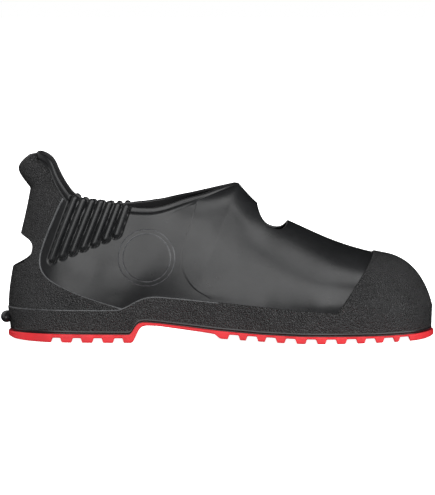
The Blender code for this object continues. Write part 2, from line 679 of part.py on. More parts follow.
def instep_hole_cutter(cutters):
    """Upright oval bar for the hole on the ridge of the instep."""
    x, y = oval(INSTEP_HOLE["half_length"], INSTEP_HOLE["half_width"])
    x, y = x + INSTEP_HOLE["x"], y + float(AXIS(INSTEP_HOLE["x"])) - CENTRE_Y
    near, far = (np.stack([x, y, np.full_like(x, z)], -1) for z in (INSTEP_HOLE["from_z"], INSTEP_HOLE["to_z"]))
    return bar_cutter("instep_hole", cutters, near, far)


def groove_cutter(cutters):
    """Bars that cut the grooves across the tread, wider at the ground."""
    points, faces = [], []
    reach = 80.0
    places = [(x, grooves) for grooves in (HEEL_GROOVES, FORE_GROOVES) for x in grooves["x"]]
    for x, grooves in places:
        ceiling = float(TREAD_Z(x)) + GROOVE_DEPTH
        wide, narrow = grooves["mouth"] / 2, grooves["ceiling"] / 2
        below = (wide - narrow) / GROOVE_DEPTH * 2
        section = ((-wide - below, -2), (-narrow, ceiling), (narrow, ceiling), (wide + below, -2))
        base = len(points)
        points += [(x + dx, side * reach, z) for side in (-1, 1) for dx, z in section]
        faces += [[base + i for i in face] for face in
                  ((0, 1, 2, 3), (7, 6, 5, 4), (0, 4, 5, 1), (1, 5, 6, 2), (2, 6, 7, 3), (3, 7, 4, 0))]
    return new_cutter("grooves", mesh_from_faces("grooves", points, faces), cutters)


def channel_cutter(cutters):
    """Bars that cut a channel along the middle of the heel and of the forefoot."""
    points, faces = [], []
    for start, end in CHANNELS:
        base = len(points)
        stations = np.linspace(start, end, 12)
        for x in stations:
            ceiling = float(TREAD_Z(x)) + GROOVE_DEPTH - 0.4
            y = float(AXIS(x)) - CENTRE_Y
            low, high = y - CHANNEL_WIDTH / 2, y + CHANNEL_WIDTH / 2
            points += [(x, low - 1, -2), (x, high + 1, -2), (x, high - 0.5, ceiling), (x, low + 0.5, ceiling)]
        for i in range(len(stations) - 1):
            row = base + 4 * i
            faces += [[row + k, row + (k + 1) % 4, row + 4 + (k + 1) % 4, row + 4 + k] for k in range(4)]
        end_row = base + 4 * (len(stations) - 1)
        faces += [[base + 3, base + 2, base + 1, base], [end_row, end_row + 1, end_row + 2, end_row + 3]]
    return new_cutter("channels", mesh_from_faces("channels", points, faces), cutters)


def heel_cutter(cutters):
    """The sidewall's outside, grown by the gap that the kick-off lug keeps to it."""
    levels = ((SIDEWALL_INSET + SIDEWALL_DRAFT - GAP, 0, JOINT_Z), (SIDEWALL_INSET - GAP, 1, SIDEWALL_Z))
    return new_cutter("heel_outside", sole_solid("heel_outside", levels), cutters)


def finish_named(name):
    """Plain finish with the part's colour."""
    colour, roughness = COLOURS[name]
    material = bpy.data.materials.new(name)
    material.use_nodes = True
    shader = material.node_tree.nodes["Principled BSDF"]
    shader.inputs["Base Color"].default_value = (*colour, 1)
    shader.inputs["Roughness"].default_value = roughness
    material.diffuse_color = (*colour, 1)
    return material


def main():
    for obj in list(bpy.data.objects):
        bpy.data.objects.remove(obj)
    parts = bpy.data.collections.new("overshoe")
    cutters = bpy.data.collections.new("cutters")
    bpy.context.scene.collection.children.link(parts)
    bpy.context.scene.collection.children.link(cutters)
    smooth, grained, red = (finish_named(name) for name in COLOURS)

    slot, hole = heel_slot_cutter(cutters), instep_hole_cutter(cutters)
    build_upper(parts, smooth, (slot, hole))
    build_toe_cap(parts, grained)
    grip_space = grip_cutter("grip_space", cutters, GAP)
    build_heel_counter(parts, grained, counter_outline(cutters), slot, grip_space)
    build_pull_grip(parts, grained, grip_cutter("grip_outline", cutters, 0.0))
    build_boss(parts, smooth, "boss_lateral", LATERAL)
    build_boss(parts, smooth, "boss_medial", MEDIAL)
    build_sidewall(parts, grained)
    build_outsole(parts, red, groove_cutter(cutters), channel_cutter(cutters))
    build_kick_lug(parts, smooth, heel_cutter(cutters))


main()
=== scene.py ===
"""Skins, finishes and studio for the moulded work overshoe, right foot.

Each piece is a surface worked out on a grid from the same sections as the part's solids. Lengths are in
millimetres until a mesh is made. X runs from heel to toe, Y to the inner (medial) side, Z up.
"""

import math

import bmesh
import bpy
import numpy as np
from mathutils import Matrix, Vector


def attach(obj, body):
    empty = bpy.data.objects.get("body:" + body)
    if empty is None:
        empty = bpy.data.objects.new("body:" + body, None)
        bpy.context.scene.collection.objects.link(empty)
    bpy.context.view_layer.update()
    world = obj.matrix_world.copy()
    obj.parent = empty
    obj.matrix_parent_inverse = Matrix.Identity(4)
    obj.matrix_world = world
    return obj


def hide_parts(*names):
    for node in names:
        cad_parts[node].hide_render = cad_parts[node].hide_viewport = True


bl_info = {
    "name": "Moulded Overshoe",
    "version": (1, 0, 0),
    "blender": (4, 5, 0),
    "location": "3D View > Sidebar > Overshoe",
    "description": "Builds the skins, finishes and studio of a moulded work overshoe",
    "category": "Add Mesh",
}

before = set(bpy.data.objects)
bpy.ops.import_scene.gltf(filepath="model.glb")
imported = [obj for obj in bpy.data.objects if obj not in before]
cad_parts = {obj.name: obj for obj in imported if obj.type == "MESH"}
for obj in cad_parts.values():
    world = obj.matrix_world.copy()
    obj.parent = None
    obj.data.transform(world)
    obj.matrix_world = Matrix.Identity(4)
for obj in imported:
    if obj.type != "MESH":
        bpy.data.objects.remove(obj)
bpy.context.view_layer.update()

# Metres in a millimetre, distance in metres under which points merge, and step of u and t for slopes
MM = 0.001
MERGE = 2e-6
STEP = 1e-4

LATERAL, MEDIAL = -1.0, 1.0
BODY = "root"

# Driving dimensions of the solids
SOLE_LENGTH = 319.6
KICK_LUG_REACH = 5.8
HEEL_X = KICK_LUG_REACH - (SOLE_LENGTH + KICK_LUG_REACH) / 2
TOE_X = HEEL_X + SOLE_LENGTH
MID_X = (HEEL_X + TOE_X) / 2
HALF_LENGTH = SOLE_LENGTH / 2
HEEL_ROUNDING = 6.5
TOE_ROUNDING = 5.5
GAP = 0.3
SIDEWALL_INSET = 1.0
SIDEWALL_DRAFT = 0.6
HEEL_OVERHANG = {"out": 1.4, "to_u": 0.15}
UPPER_INSET = 2.4

# Plan of the outsole: half-widths either side of an axis that bends to the inner side at the toe
OUTLINE = {
    "x": (-156, -110, -60, -15, 30, 65, 100, 135, 162),
    "lateral": (44, 44, 44, 46.5, 54, 58, 57, 54, 52),
    "medial": (44, 44, 41, 40, 47, 53.5, 53, 52, 51),
    "axis": (0, 0, 0, 0, 1, 2, 5, 8, 9),
}

# Heights along the sole: ground side of the tread, joint of outsole and sidewall, sidewall's top edge, floor
TREAD = {
    "x": (-156, -152, -141, -124, -63, -59, -56.6, -53, -44, -2, 1.5, 20, 47, 63, 84, 130, 148, 156, 162),
    "z": (2.2, 1.2, 0.5, 0, 0, 8.7, 12.0, 13.0, 12.7, 7.1, 3.7, 2.6, 1.1, 0.4, 0, 0, 0.2, 0.8, 1.8),
}
JOINT = {
    "x": (-156, -140, -66, -64.3, -62, -59.6, -56.6, -53, -44, 0, 31, 62, 94, 121, 148, 162),
    "z": (6.5, 6.5, 6.2, 6.7, 10.9, 14.1, 15.3, 15.5, 14.8, 9.7, 7.3, 5.9, 5.4, 5.1, 5.3, 6.2),
}
SIDEWALL_TOP = {
    "x": (-156, -80, -72, -62, -52, -40, -8, 25, 62, 92, 116, 140, 162),
    "z": (24.6, 24.6, 25.4, 30.4, 34.2, 34.4, 31.4, 28.2, 24.7, 22.4, 21.6, 22.2, 24.2),
}
FLOOR = {
    "x": (-156, -40, 0, 35, 62, 110, 140, 162),
    "z": (20.5, 20.5, 15.5, 11.5, 10.2, 9.8, 10.4, 12.2),
}

# Sections of the last, one row each, from the heel seam round to the toe. Each section is a curve from the
# sidewall's top edge at foot_x up to its top point on the collar rim or on the ridge of the instep.
# heading turns the curve's upper end in plan; flare and rise shape its lower end, reach and drop its upper.
SECTION_COLUMNS = (
    "foot_x", "top_x", "top_y", "top_z", "heading", "flare", "rise", "reach", "drop",
)
COLLAR_SECTIONS = (
    (-156.9, -136.0, 0.0, 137.6, 180, 5.9, 34, -5.0, 45),
    (-151.7, -130.2, 18.0, 138.8, 150, 5.0, 34, -3.0, 45),
    (-148.8, -124.3, 22.6, 134.2, 140, 4.3, 33, -1.2, 41),
    (-145.5, -120.0, 26.2, 125.2, 130, 3.8, 32, 0.5, 38),
    (-139.5, -112.4, 31.4, 111.8, 115, 3.2, 30, 2.5, 32),
    (-135.0, -108.2, 33.8, 107.0, 108, 2.8, 29, 3.0, 30),
    (-118.0, -88.5, 37.0, 101.4, 97, 2.4, 27, 3.5, 27),
    (-100.0, -67.5, 38.0, 99.9, 92, 3.2, 26, 4.0, 25),
    (-75.0, -42.0, 37.3, 101.1, 90, 5.4, 27, 5.5, 23),
    (-56.0, -24.0, 31.0, 106.4, 90, 6.4, 29, 11.0, 16),
    (-38.0, -5.0, 19.0, 111.2, 90, 5.8, 33, 20.0, 6),
    (-18.0, 15.6, 0.0, 116.5, 90, 4.4, 38, 29.0, 0),
)
RIDGE_SECTIONS = (
    (-3.0, 30.0, 0.0, 101.2, 90, 3.4, 36, 30.5, 0),
    (21.0, 53.0, 0.0, 88.2, 90, 3.2, 32, 32.5, 0),
    (54.0, 84.5, 0.0, 74.1, 90, 3.0, 27, 34.0, 0),
    (88.0, 116.0, 0.0, 64.2, 90, 2.6, 23, 32.0, 0),
    (97.0, 123.0, 0.0, 62.8, 90, 2.4, 22, 31.0, 0),
)
TOE_SECTIONS = (
    (120.0, 123.0, 0.0, 62.8, 66, 1.2, 21, 28.5, 2.0),
    (145.0, 123.0, 0.0, 62.8, 36, -1.6, 19, 24.5, 3.0),
    (162.7, 123.0, 0.0, 62.8, 0, -4.4, 17.5, 22.5, 2.8),
)
THROAT_ROW = len(COLLAR_SECTIONS) - 1
POLE_ROW = THROAT_ROW + len(RIDGE_SECTIONS)

# Share of the way from the ridge's end to the toe over which the sections' rake fades
RAKE_FADE = 0.35

# How much higher than its section each side's rim runs, where it rises to the tops of the ribs
RIM_LIFT = {
    "foot_x": (-145, -141, -135, -124, -115, -104, -92, -80, -66, -52),
    "lateral": (0, 1.2, 2.2, 3.6, 4.0, 2.4, 1.0, 0.2, 0, 0),
    "medial": (0, 0, 0, -1.2, -1.5, -1.0, 0.6, 1.5, 1.0, 0),
}

# Ribs below the collar: first and last rib by foot_x at their lower ends and at the rim, the height where
# each ends, half-width in rib spacings, power of the section, depth of the notch between ribs, share of a
# rib's height that shows on the rim, and the stations between which the upper's columns stand close
RIB_FEET = (-134.4, -98.6)
RIB_TOPS = (-132.3, -100.1)
RIB_ENDS = (61.7, 80.4)
RIB_HALF_SHARE = 0.33
RIB_POWER = 2.0
RIB_NOTCH = 1.2
RIB_TOP_SHARE = 0.45
RIB_REACH = (-138.4, -94.6)

# Rim: height of its rounded edge, middle and half-width of the bead below it, the groove under the bead,
# the places between which the bead begins, and how far down the upper's rows stand close
RIM_ROUND = 1.2
BEAD = {"middle": 1.2, "half_width": 2.5, "groove": 4.2, "groove_width": 0.55, "groove_depth": 0.55}
BEAD_FROM_U = (0.055, 0.072)
RIM_ZONE = 5.5
# How far before the throat, in u, the rim's edge runs out, the bead ends and the rim turns to the ridge
THROAT_EASE = {"rim": 0.02, "bead": 0.006, "turn": 0.015}

# Edge of the heel counter in side view, from the rim down and forward to the sidewall, the range of u that
# it lies in, and how far below the rim the counter stays where there is a bead
COUNTER_EDGE = {
    "x": (-112.0, -115.6, -121.9, -127.5, -130.9, -131.3, -128.8, -118.1, -99.0, -70.4),
    "z": (109.5, 102.9, 89.2, 75.5, 64.5, 57.2, 51.0, 42.8, 34.5, 25.6),
}
COUNTER_RANGE = (0.05, 0.4)
COUNTER_BELOW_RIM = 5.28

# The pull grip is a lip across the back of the tab: its outward rise up the tab and its sides
GRIP_PROFILE = {"t": (0.805, 0.83, 0.855, 0.895, 0.945, 1.0), "out": (0.0, 3.4, 6.6, 10.3, 9.6, 2.2)}
GRIP_SIDES = (5.0, 23.0)

# Toe cap: station of its edge at the sidewall, and the end of the upper's close columns there
CAP_FOOT_X = 89.0
CAP_REACH = 97.0

# Openings cut through the walls
HEEL_SLOT = {"z": 66.6, "half_width": 24.5, "half_height": 12.0}
INSTEP_HOLE = {"x": 41.3, "half_length": 11.0, "half_width": 25.2}
OVAL_POWER = 2.7

# Round boss on each side: its radius, its low steps as inner and outer radius and height, its dome, and
# the ranges of u and t that it lies in
BOSS_CENTRE = (-52.5, 63.5)
BOSS_RADIUS = 21.7
BOSS_STEPS = ((17.0, 18.0, 0.75), (20.4, 21.4, 0.7))
BOSS_DOME = 0.25
BOSS_RANGES = ((0.2, 0.5), (0.1, 0.95))

# Overlays: radius of their rounded edges, and how far the edges are sunk into the upper
OVERLAY_EDGE = 1.1
EDGE_SINK = 0.35

# Sidewall: radius of its top edge at the heel, ahead and at the toe cap, the station where the painted
# highlight line along the edge ends, and the lengths over which the radius changes there and at the cap
TOP_EDGE = 0.8
FORE_EDGE = 0.3
CAP_TOP_EDGE = 0.08
EDGE_LINE_TO_X = 0.0
EDGE_EASE = 20.0
CAP_EASE = 3.0
# Moulded foot of the sidewall along the joint: height above it and inset, and rows of its grid
SIDEWALL_FOOT = {
    "above": (0, 0.35, 0.7, 1.0, 1.4, 1.9, 2.4),
    "inset": (0.7, 0.75, 0.6, 0.1, -0.15, -0.08, 0.0),
}
FOOT_ROWS = 19
# Inside of the sidewall: insets from the upper's inner face, from the ledge down to the floor, and the
# height of the ledge's bevel
LEDGE_INSETS = (-0.6, 0.0, 0.3, 1.0)
LEDGE_BEVEL = 0.3

# Edge of the vamp in side view, its low step below and above, the range of u that it lies in, the stations
# that the columns are moved between, and half the width of the band of close columns along it
VAMP_LINE = {
    "x": (-15.2, -20.4, -26.3, -27.0, -23.3, -17.4, -10.0, -5.0),
    "z": (104.0, 87.5, 69.3, 60.4, 49.3, 41.1, 36.0, 33.2),
}
VAMP_STEP = {
    "height": (0.3, 0.35),
    "half_width": (1.0, 0.45),
    "turn_t": (0.42, 0.52),
    "run_out": 13.0,
    "fade_in_t": (0.01, 0.05),
    "fade_out_t": (0.84, 0.88),
}
VAMP_RANGE = (0.3, 0.6)
VAMP_REACH = (-92.0, 25.0)
VAMP_BAND = 2.6

# Soft folds of the wall in side view: a straight line, the half-width of the fold and its height. FOLD_FADE
# gives the shares of the line over which a fold begins and ends.
FOLDS = (
    (-7.0, 102.0, 33.0, 50.0, 8.0, -0.35),
    (2.0, 108.0, 29.0, 79.0, 5.0, 0.3),
    (-13.0, 80.0, 2.0, 36.0, 8.0, 0.15),
    (40.0, 25.5, 70.0, 24.5, 13.0, -0.9),
    (-80.0, 62.0, -77.0, 30.0, 9.0, -0.5),
    (-110.0, 57.0, -88.0, 52.0, 9.0, 0.35),
)
FOLD_FADE = ((-0.25, 0.2), (0.8, 1.25))

# Tread grooves between the lugs: their places, their widths at the ground and at the ceiling, and the
# softness of their corners
HEEL_GROOVES = {"x": (-119.8, -104.5, -88.9, -73.5), "mouth": 7.9, "ceiling": 6.0}
FORE_GROOVES = {
    "x": (12.0, 25.4, 39.4, 54.0, 69.5, 84.3, 99.4, 113.6, 127.4, 139.4),
    "mouth": 9.1,
    "ceiling": 6.8,
}
GROOVE_SOFTNESS = 0.16
# Channels along the middle of the tread: their stretches, and their section with sloped sides. depth_share is
# a share of the grooves' depth, run_in the length of each end and room the most of the sole's half-width.
CHANNELS = ((-128.0, -61.0), (0.0, 144.0))
CHANNEL = {
    "width": 7.0,
    "spread": 0.5,
    "slope": 1.2,
    "softness": 0.2,
    "depth_share": 0.88,
    "run_in": 2.0,
    "room": 0.6,
}
# Outsole: radius of its lower edge, inset of its top edge, and its close columns, either side of each groove,
# at the heel's front and where the forefoot begins
OUTSOLE_EDGE = {"radius": 1.1, "top_inset": 0.35}
GROOVE_COLUMNS = np.array((1, 2.1, 2.6, 3.1, 3.6, 4.1, 4.5, 4.9, 5.4))
HEEL_FRONT_COLUMNS = (
    -66, -65, -64, -63, -62, -61, -60, -58.5, -57, -56, -55, -54, -53, -52, -51, -50, -48,
)
FORE_START_COLUMNS = (-2, 0, 1, 2, 3)

# Kick-off lug at the back of the heel, and how far it is sunk into the sidewall
KICK_LUG = {"z": 16.0, "radius": 4.5, "half_width": 13.0, "sink": 1.2}

# Studio: the floor's half-size, points along a side and height, and the softboxes. Each softbox has a turn
# from the camera's side towards the toe and a rise above the floor, in degrees, and a size in metres.
STUDIO_FLOOR = {"half_size": 9000.0, "points": 7, "z": -0.05}
SOFTBOX_DISTANCE = 2.2
SOFTBOXES = {
    "heel": (-20, 18.5, (1.2, 2.3)),
    "toe": (17.5, 16, (1.33, 2.05)),
    "middle": (0, 48, (0.4, 0.5)),
    "high": (48, 60.5, (1.6, 1.0)),
    "fill": (66, 12, (1.9, 1.6)),
    "side": (-100, 20, (1.8, 2.0)),
    "back": (-150, 25, (1.8, 1.2)),
}


def smooth_line(xs, ys, level_start=False, level_end=False):
    """Cubic spline through the rows of a table, as a function of x. Its ends are free, or level if asked."""
    xs, ys = np.asarray(xs, float), np.asarray(ys, float)
    h = np.diff(xs)
    slope = np.diff(ys) / h
    n = len(xs)
    system = np.eye(n)
    right = np.zeros(n)
    for i in range(1, n - 1):
        system[i, i - 1 : i + 2] = h[i - 1], 2 * (h[i - 1] + h[i]), h[i]
        right[i] = 6 * (slope[i] - slope[i - 1])
    if level_start:
        system[0, :2] = 2 * h[0], h[0]
        right[0] = 6 * slope[0]
    if level_end:
        system[-1, -2:] = h[-1], 2 * h[-1]
        right[-1] = -6 * slope[-1]
    bend = np.linalg.solve(system, right)

    def at(x):
        x = np.clip(np.asarray(x, float), xs[0], xs[-1])
        i = np.clip(np.searchsorted(xs, x) - 1, 0, n - 2)
        a, b = xs[i + 1] - x, x - xs[i]
        cubic = (bend[i] * a**3 + bend[i + 1] * b**3) / (6 * h[i])
        return (
            cubic
            + (ys[i] / h[i] - bend[i] * h[i] / 6) * a
            + (ys[i + 1] / h[i] - bend[i + 1] * h[i] / 6) * b
        )

    return at


def eased_line(table, reach):
    """Straight lines between the rows of a table with their corners eased: the mean over a short length."""
    offsets = np.linspace(-reach, reach, 9)
    return lambda x: np.interp(np.asarray(x, float)[..., None] + offsets, table["x"], table["z"]).mean(-1)


def smooth_curve(x, z, count):
    """Points evenly spaced along a spline through the points of a side view."""
    along = np.concatenate([[0], np.cumsum(np.hypot(np.diff(x), np.diff(z)))])
    fine = np.linspace(0, along[-1], count)
    return smooth_line(along, x)(fine), smooth_line(along, z)(fine)


def ease(low, high, value):
    """Share of the way from low to high, eased at both ends: 3 s squared less 2 s cubed."""
    share = np.clip((np.asarray(value, float) - low) / (high - low), 0, 1)
    return share * share * (3 - 2 * share)


def soft_ramp(share, softness):
    """A ramp from 0 to 1 with rounded corners: half the difference of two hyperbolas, plus a half."""
    return (np.sqrt(share**2 + softness**2) - np.sqrt((share - 1) ** 2 + softness**2) + 1) / 2


def quarter_round(distance, radius):
    """Height of a quarter round edge at a distance from it, as a share of the radius."""
    return np.sqrt(np.clip(1 - (1 - np.clip(distance / radius, 0, 1)) ** 2, 0, None))


def unit(vectors):
    """Vectors of length one."""
    return vectors / np.linalg.norm(vectors, axis=-1, keepdims=True)


LATERAL_WIDTH = smooth_line(OUTLINE["x"], OUTLINE["lateral"])
MEDIAL_WIDTH = smooth_line(OUTLINE["x"], OUTLINE["medial"])
AXIS = smooth_line(OUTLINE["x"], OUTLINE["axis"])
TREAD_Z = eased_line(TREAD, 1.2)
JOINT_Z = eased_line(JOINT, 1.2)
SIDEWALL_Z = smooth_line(SIDEWALL_TOP["x"], SIDEWALL_TOP["z"])
FLOOR_Z = eased_line(FLOOR, 8.0)


def u_at(foot_x):
    """Place round the sole, from 0 at the heel to 1 at the toe, of a station along it."""
    return np.arccos(np.clip((MID_X - np.asarray(foot_x, float)) / HALF_LENGTH, -1, 1)) / math.pi


def plan(u, side):
    """Plan of the outsole on one side: half-width times a rounding that closes the heel and the toe."""
    across = -np.cos(math.pi * u)
    x = MID_X + HALF_LENGTH * across
    power = np.where(across < 0, HEEL_ROUNDING, TOE_ROUNDING)
    rounding = np.sqrt(np.clip(1 - np.abs(across) ** power, 0, None))
    width = LATERAL_WIDTH(x) if side < 0 else MEDIAL_WIDTH(x)
    return x, AXIS(x) + side * width * rounding


def plan_normal(u, side):
    """Outward direction of the plan, square to it."""
    x0, y0 = plan(np.clip(u - STEP, 0, 1), side)
    x1, y1 = plan(np.clip(u + STEP, 0, 1), side)
    nx, ny = side * -(y1 - y0), side * (x1 - x0)
    ends = (u < STEP) | (u > 1 - STEP)
    nx = np.where(ends, np.where(u < 0.5, -1.0, 1.0), nx)
    ny = np.where(ends, 0.0, ny)
    size = np.hypot(nx, ny)
    return nx / size, ny / size


def box_centre_y():
    """Middle of the sole's width, which the part is centred on."""
    u = np.linspace(0, 1, 2001)
    return (plan(u, LATERAL)[1].min() + plan(u, MEDIAL)[1].max()) / 2


CENTRE_Y = box_centre_y()


def ring(u, side, inset):
    """Plan of the sole moved inwards by inset."""
    x, y = plan(u, side)
    nx, ny = plan_normal(u, side)
    return x - nx * inset, y - ny * inset - CENTRE_Y


def heel_overhang(u):
    """How far the sidewall's top leans out at the back of the heel, eased to nothing at its corners."""
    return HEEL_OVERHANG["out"] * ease(HEEL_OVERHANG["to_u"], 0.0, u)


def section_tables():
    """Each column of the section tables as a function of u. The top line is split at the throat and at the
    toe, where it turns a corner."""
    rows = np.array(COLLAR_SECTIONS + RIDGE_SECTIONS + TOE_SECTIONS, float)
    u = u_at(rows[:, 0])
    throat, pole = u[THROAT_ROW], u[POLE_ROW]
    lines = {}
    for i, name in enumerate(SECTION_COLUMNS[1:], 1):
        if name in ("top_x", "top_y", "top_z"):
            collar = smooth_line(u[: THROAT_ROW + 1], rows[: THROAT_ROW + 1, i], level_start=name != "top_y")
            ridge = smooth_line(u[THROAT_ROW : POLE_ROW + 1], rows[THROAT_ROW : POLE_ROW + 1, i])
            lines[name] = lambda v, a=collar, b=ridge: np.where(v <= throat, a(v), b(v))
        else:
            even = name != "heading"
            lines[name] = smooth_line(u, rows[:, i], level_start=even, level_end=even)
    return lines, throat, pole


SECTION, THROAT_U, POLE_U = section_tables()


def rim_lift(u, side):
    """Extra height of one side's rim at u."""
    return np.interp(u, u_at(RIM_LIFT["foot_x"]), RIM_LIFT["lateral" if side < 0 else "medial"])


def section_handles(u, side):
    """The four control points of the section curves at u."""
    foot_x, foot_y = ring(u, side, UPPER_INSET - heel_overhang(u))
    foot_z = SIDEWALL_Z(foot_x) + GAP
    top_x, top_z = SECTION["top_x"](u), SECTION["top_z"](u) + rim_lift(u, side)
    top_y = AXIS(top_x) - CENTRE_Y + side * np.where(u < THROAT_U, SECTION["top_y"](u), 0.0)
    out_x, out_y = plan_normal(u, side)
    heading = np.radians(SECTION["heading"](u))
    rise, drop = SECTION["rise"](u), SECTION["drop"](u)
    flare, reach = SECTION["flare"](u), SECTION["reach"](u)
    raked = 1 - ease(POLE_U, POLE_U + RAKE_FADE * (1 - POLE_U), u)
    rake = (top_x - foot_x) / (top_z - foot_z) * raked
    foot = np.stack([foot_x, foot_y, foot_z], -1)
    top = np.stack([top_x, top_y, top_z], -1)
    low = foot + np.stack([out_x * flare + rake * rise, out_y * flare, rise], -1)
    across = np.stack([np.cos(heading) * reach - rake * drop, side * np.sin(heading) * reach, -drop], -1)
    return foot, low, top + across, top


def surface(u, t, side):
    """Outer face of the upper: cubic section curves from t 0 at the sidewall to t 1 at the rim or ridge."""
    a, b, c, d = section_handles(u, side)
    t = np.asarray(t, float)[..., None]
    return a * (1 - t) ** 3 + 3 * b * t * (1 - t) ** 2 + 3 * c * t**2 * (1 - t) + d * t**3


def slopes(u, t, side):
    """How the upper's face moves for a unit of u and of t, from small steps either way."""
    t = np.clip(t, STEP, 1 - STEP)
    u0, u1 = np.clip(u - STEP, 0, 1), np.clip(u + STEP, 0, 1)
    along = (surface(u1, t, side) - surface(u0, t, side)) / (u1 - u0)[..., None]
    up = (surface(u, t + STEP, side) - surface(u, t - STEP, side)) / (2 * STEP)
    return along, up


def ridge_normal(u):
    """Normal on the ridge, square to the top line and shared by both sides. The toe's pole ends the ridge."""
    u0, u1 = np.minimum(u - STEP, POLE_U - STEP), np.minimum(u + STEP, POLE_U)
    run = SECTION["top_x"](u1) - SECTION["top_x"](u0)
    fall = SECTION["top_z"](u1) - SECTION["top_z"](u0)
    return np.stack([-fall, np.zeros_like(run), run], -1)


def surface_normal(u, t, side):
    """Outward normal of the upper: square to its two slopes, or to the ridge on the ridge."""
    u, t = np.broadcast_arrays(np.asarray(u, float), np.asarray(t, float))
    along, up = slopes(u, t, side)
    normal = np.cross(along, up) * -side
    normal[..., 1] = np.where((u < STEP) | (u > 1 - STEP), 0.0, normal[..., 1])
    ridge = (t > 1 - 1e-6) & (u >= THROAT_U)
    return unit(np.where(ridge[..., None], ridge_normal(u), normal))


def offset_surface(u, t, side, out):
    """Points at the distance out from the upper's outer face. The foot of each section keeps its height."""
    points = surface(u, t, side)
    moved = points + surface_normal(u, t, side) * np.asarray(out, float)[..., None]
    moved[..., 2] = np.where(t <= 0, points[..., 2], moved[..., 2])
    return moved


def millimetres_per_unit(u, t, side):
    """Length on the upper's face of a unit of u, square to the section, and of a unit of t."""
    along, up = slopes(u, t, side)
    up_length = np.linalg.norm(up, axis=-1)
    return np.linalg.norm(np.cross(along, up), axis=-1) / up_length, up_length


def locate(first, second, axes, side, u_range, t_range):
    """Place (u, t) on the upper whose coordinates on two axes are given: the nearest point of a coarse
    search, then Newton steps."""
    u_grid, t_grid = np.meshgrid(np.linspace(*u_range, 40), np.linspace(*t_range, 24))
    grid = surface(u_grid, t_grid, side)[..., axes]
    far = np.hypot(grid[..., 0] - first[..., None, None], grid[..., 1] - second[..., None, None])
    best = far.reshape(first.shape + (-1,)).argmin(-1)
    u, t = u_grid.ravel()[best], t_grid.ravel()[best]
    for _ in range(12):
        here = surface(u, t, side)[..., axes]
        along, up = (slope[..., axes] for slope in slopes(u, t, side))
        miss_a, miss_b = first - here[..., 0], second - here[..., 1]
        area = along[..., 0] * up[..., 1] - up[..., 0] * along[..., 1]
        u = np.clip(u + (miss_a * up[..., 1] - miss_b * up[..., 0]) / area, 0, 1)
        t = np.clip(t + (miss_b * along[..., 0] - miss_a * along[..., 1]) / area, 0, 1)
    return u, t


def rib_places(count):
    """Place round the sole of each rib's lower end and of its top, and the spacing of the ribs at each."""
    feet, tops = (u_at(np.linspace(*ends, count)) for ends in (RIB_FEET, RIB_TOPS))
    return feet, tops, np.gradient(feet)


def spaced(u, counts):
    """Places round the sole between given places, evenly spaced in each stretch."""
    stretches = [np.linspace(a, b, n, endpoint=False) for a, b, n in zip(u, u[1:], counts)]
    return np.concatenate(stretches + [u[-1:]])


def rim_slope(u):
    """Length on the upper's face of a unit of t at the rim: three times the section's upper handle."""
    _, _, handle, top = section_handles(u, LATERAL)
    return 3 * np.linalg.norm(top - handle, axis=-1)


def rim_t(u):
    """Share t where the rim's rounded edge begins. At the throat and past it, the section runs out to 1."""
    open_rim = 1 - ease(THROAT_U - THROAT_EASE["rim"], THROAT_U, u)
    return 1 - RIM_ROUND / rim_slope(u) * open_rim


def edge_places(table, u_range):
    """Place u of a line drawn in side view on the lateral face, as a function of t."""
    x, z = smooth_curve(np.array(table["x"]), np.array(table["z"]), 60)
    u, t = locate(x, z, [0, 2], LATERAL, u_range, (0.0, 0.99))
    order = np.argsort(t)
    return lambda at: np.interp(at, t[order], u[order])


def rib_relief(u, t, side, count, proud):
    """Height of the ribs and depth of the notches beside them. A rib is a bar with a rounded section and a
    round lower end, on a line from its foot to its top. With s the share of the half-width that a point is
    away, its height is proud times (1 - s^n)^(1/n). Outside it, a notch falls evenly to its depth half-way
    to the next rib and rises again."""
    across, up = millimetres_per_unit(u, t, side)
    heights = np.linspace(0, 1, 200)
    middle = 0.5 / RIB_HALF_SHARE
    ribs, notches = np.zeros(t.shape), np.zeros(t.shape)
    for foot, top, width, end_z in zip(*rib_places(count), np.linspace(*RIB_ENDS, count)):
        end_t = np.interp(end_z, surface(np.full_like(heights, foot), heights, side)[:, 2], heights)
        line = foot + (top - foot) * np.clip((t - end_t) / (1 - end_t), 0, 1)
        away = np.hypot((u - line) * across, np.maximum(end_t - t, 0) * up)
        share = away / (RIB_HALF_SHARE * width * across)
        ribs = np.maximum(ribs, proud * np.clip(1 - share**RIB_POWER, 0, None) ** (1 / RIB_POWER))
        notches = np.maximum(notches, 1 - np.abs(share - middle) / (middle - 1))
    return ribs, RIB_NOTCH * notches


def bead_relief(u, t, count, proud):
    """Height of the bead under the rim: a half-round strip and a narrow groove below it, from the tab's
    corner to the first rib and from the last rib to the throat."""
    below = (rim_t(u) - t) * rim_slope(u)
    strip = np.sqrt(np.clip(1 - ((below - BEAD["middle"]) / BEAD["half_width"]) ** 2, 0, None))
    groove = np.exp(-(((below - BEAD["groove"]) / BEAD["groove_width"]) ** 2))
    _, tops, pitch = rib_places(count)
    before = ease(*BEAD_FROM_U, u) * (u < tops[0] - 0.5 * pitch[0])
    ended = ease(THROAT_U - THROAT_EASE["bead"], THROAT_U, u)
    after = (u > tops[-1] + 0.5 * pitch[-1]) * (1 - ended)
    return (before + after) * (proud * strip - BEAD["groove_depth"] * groove)


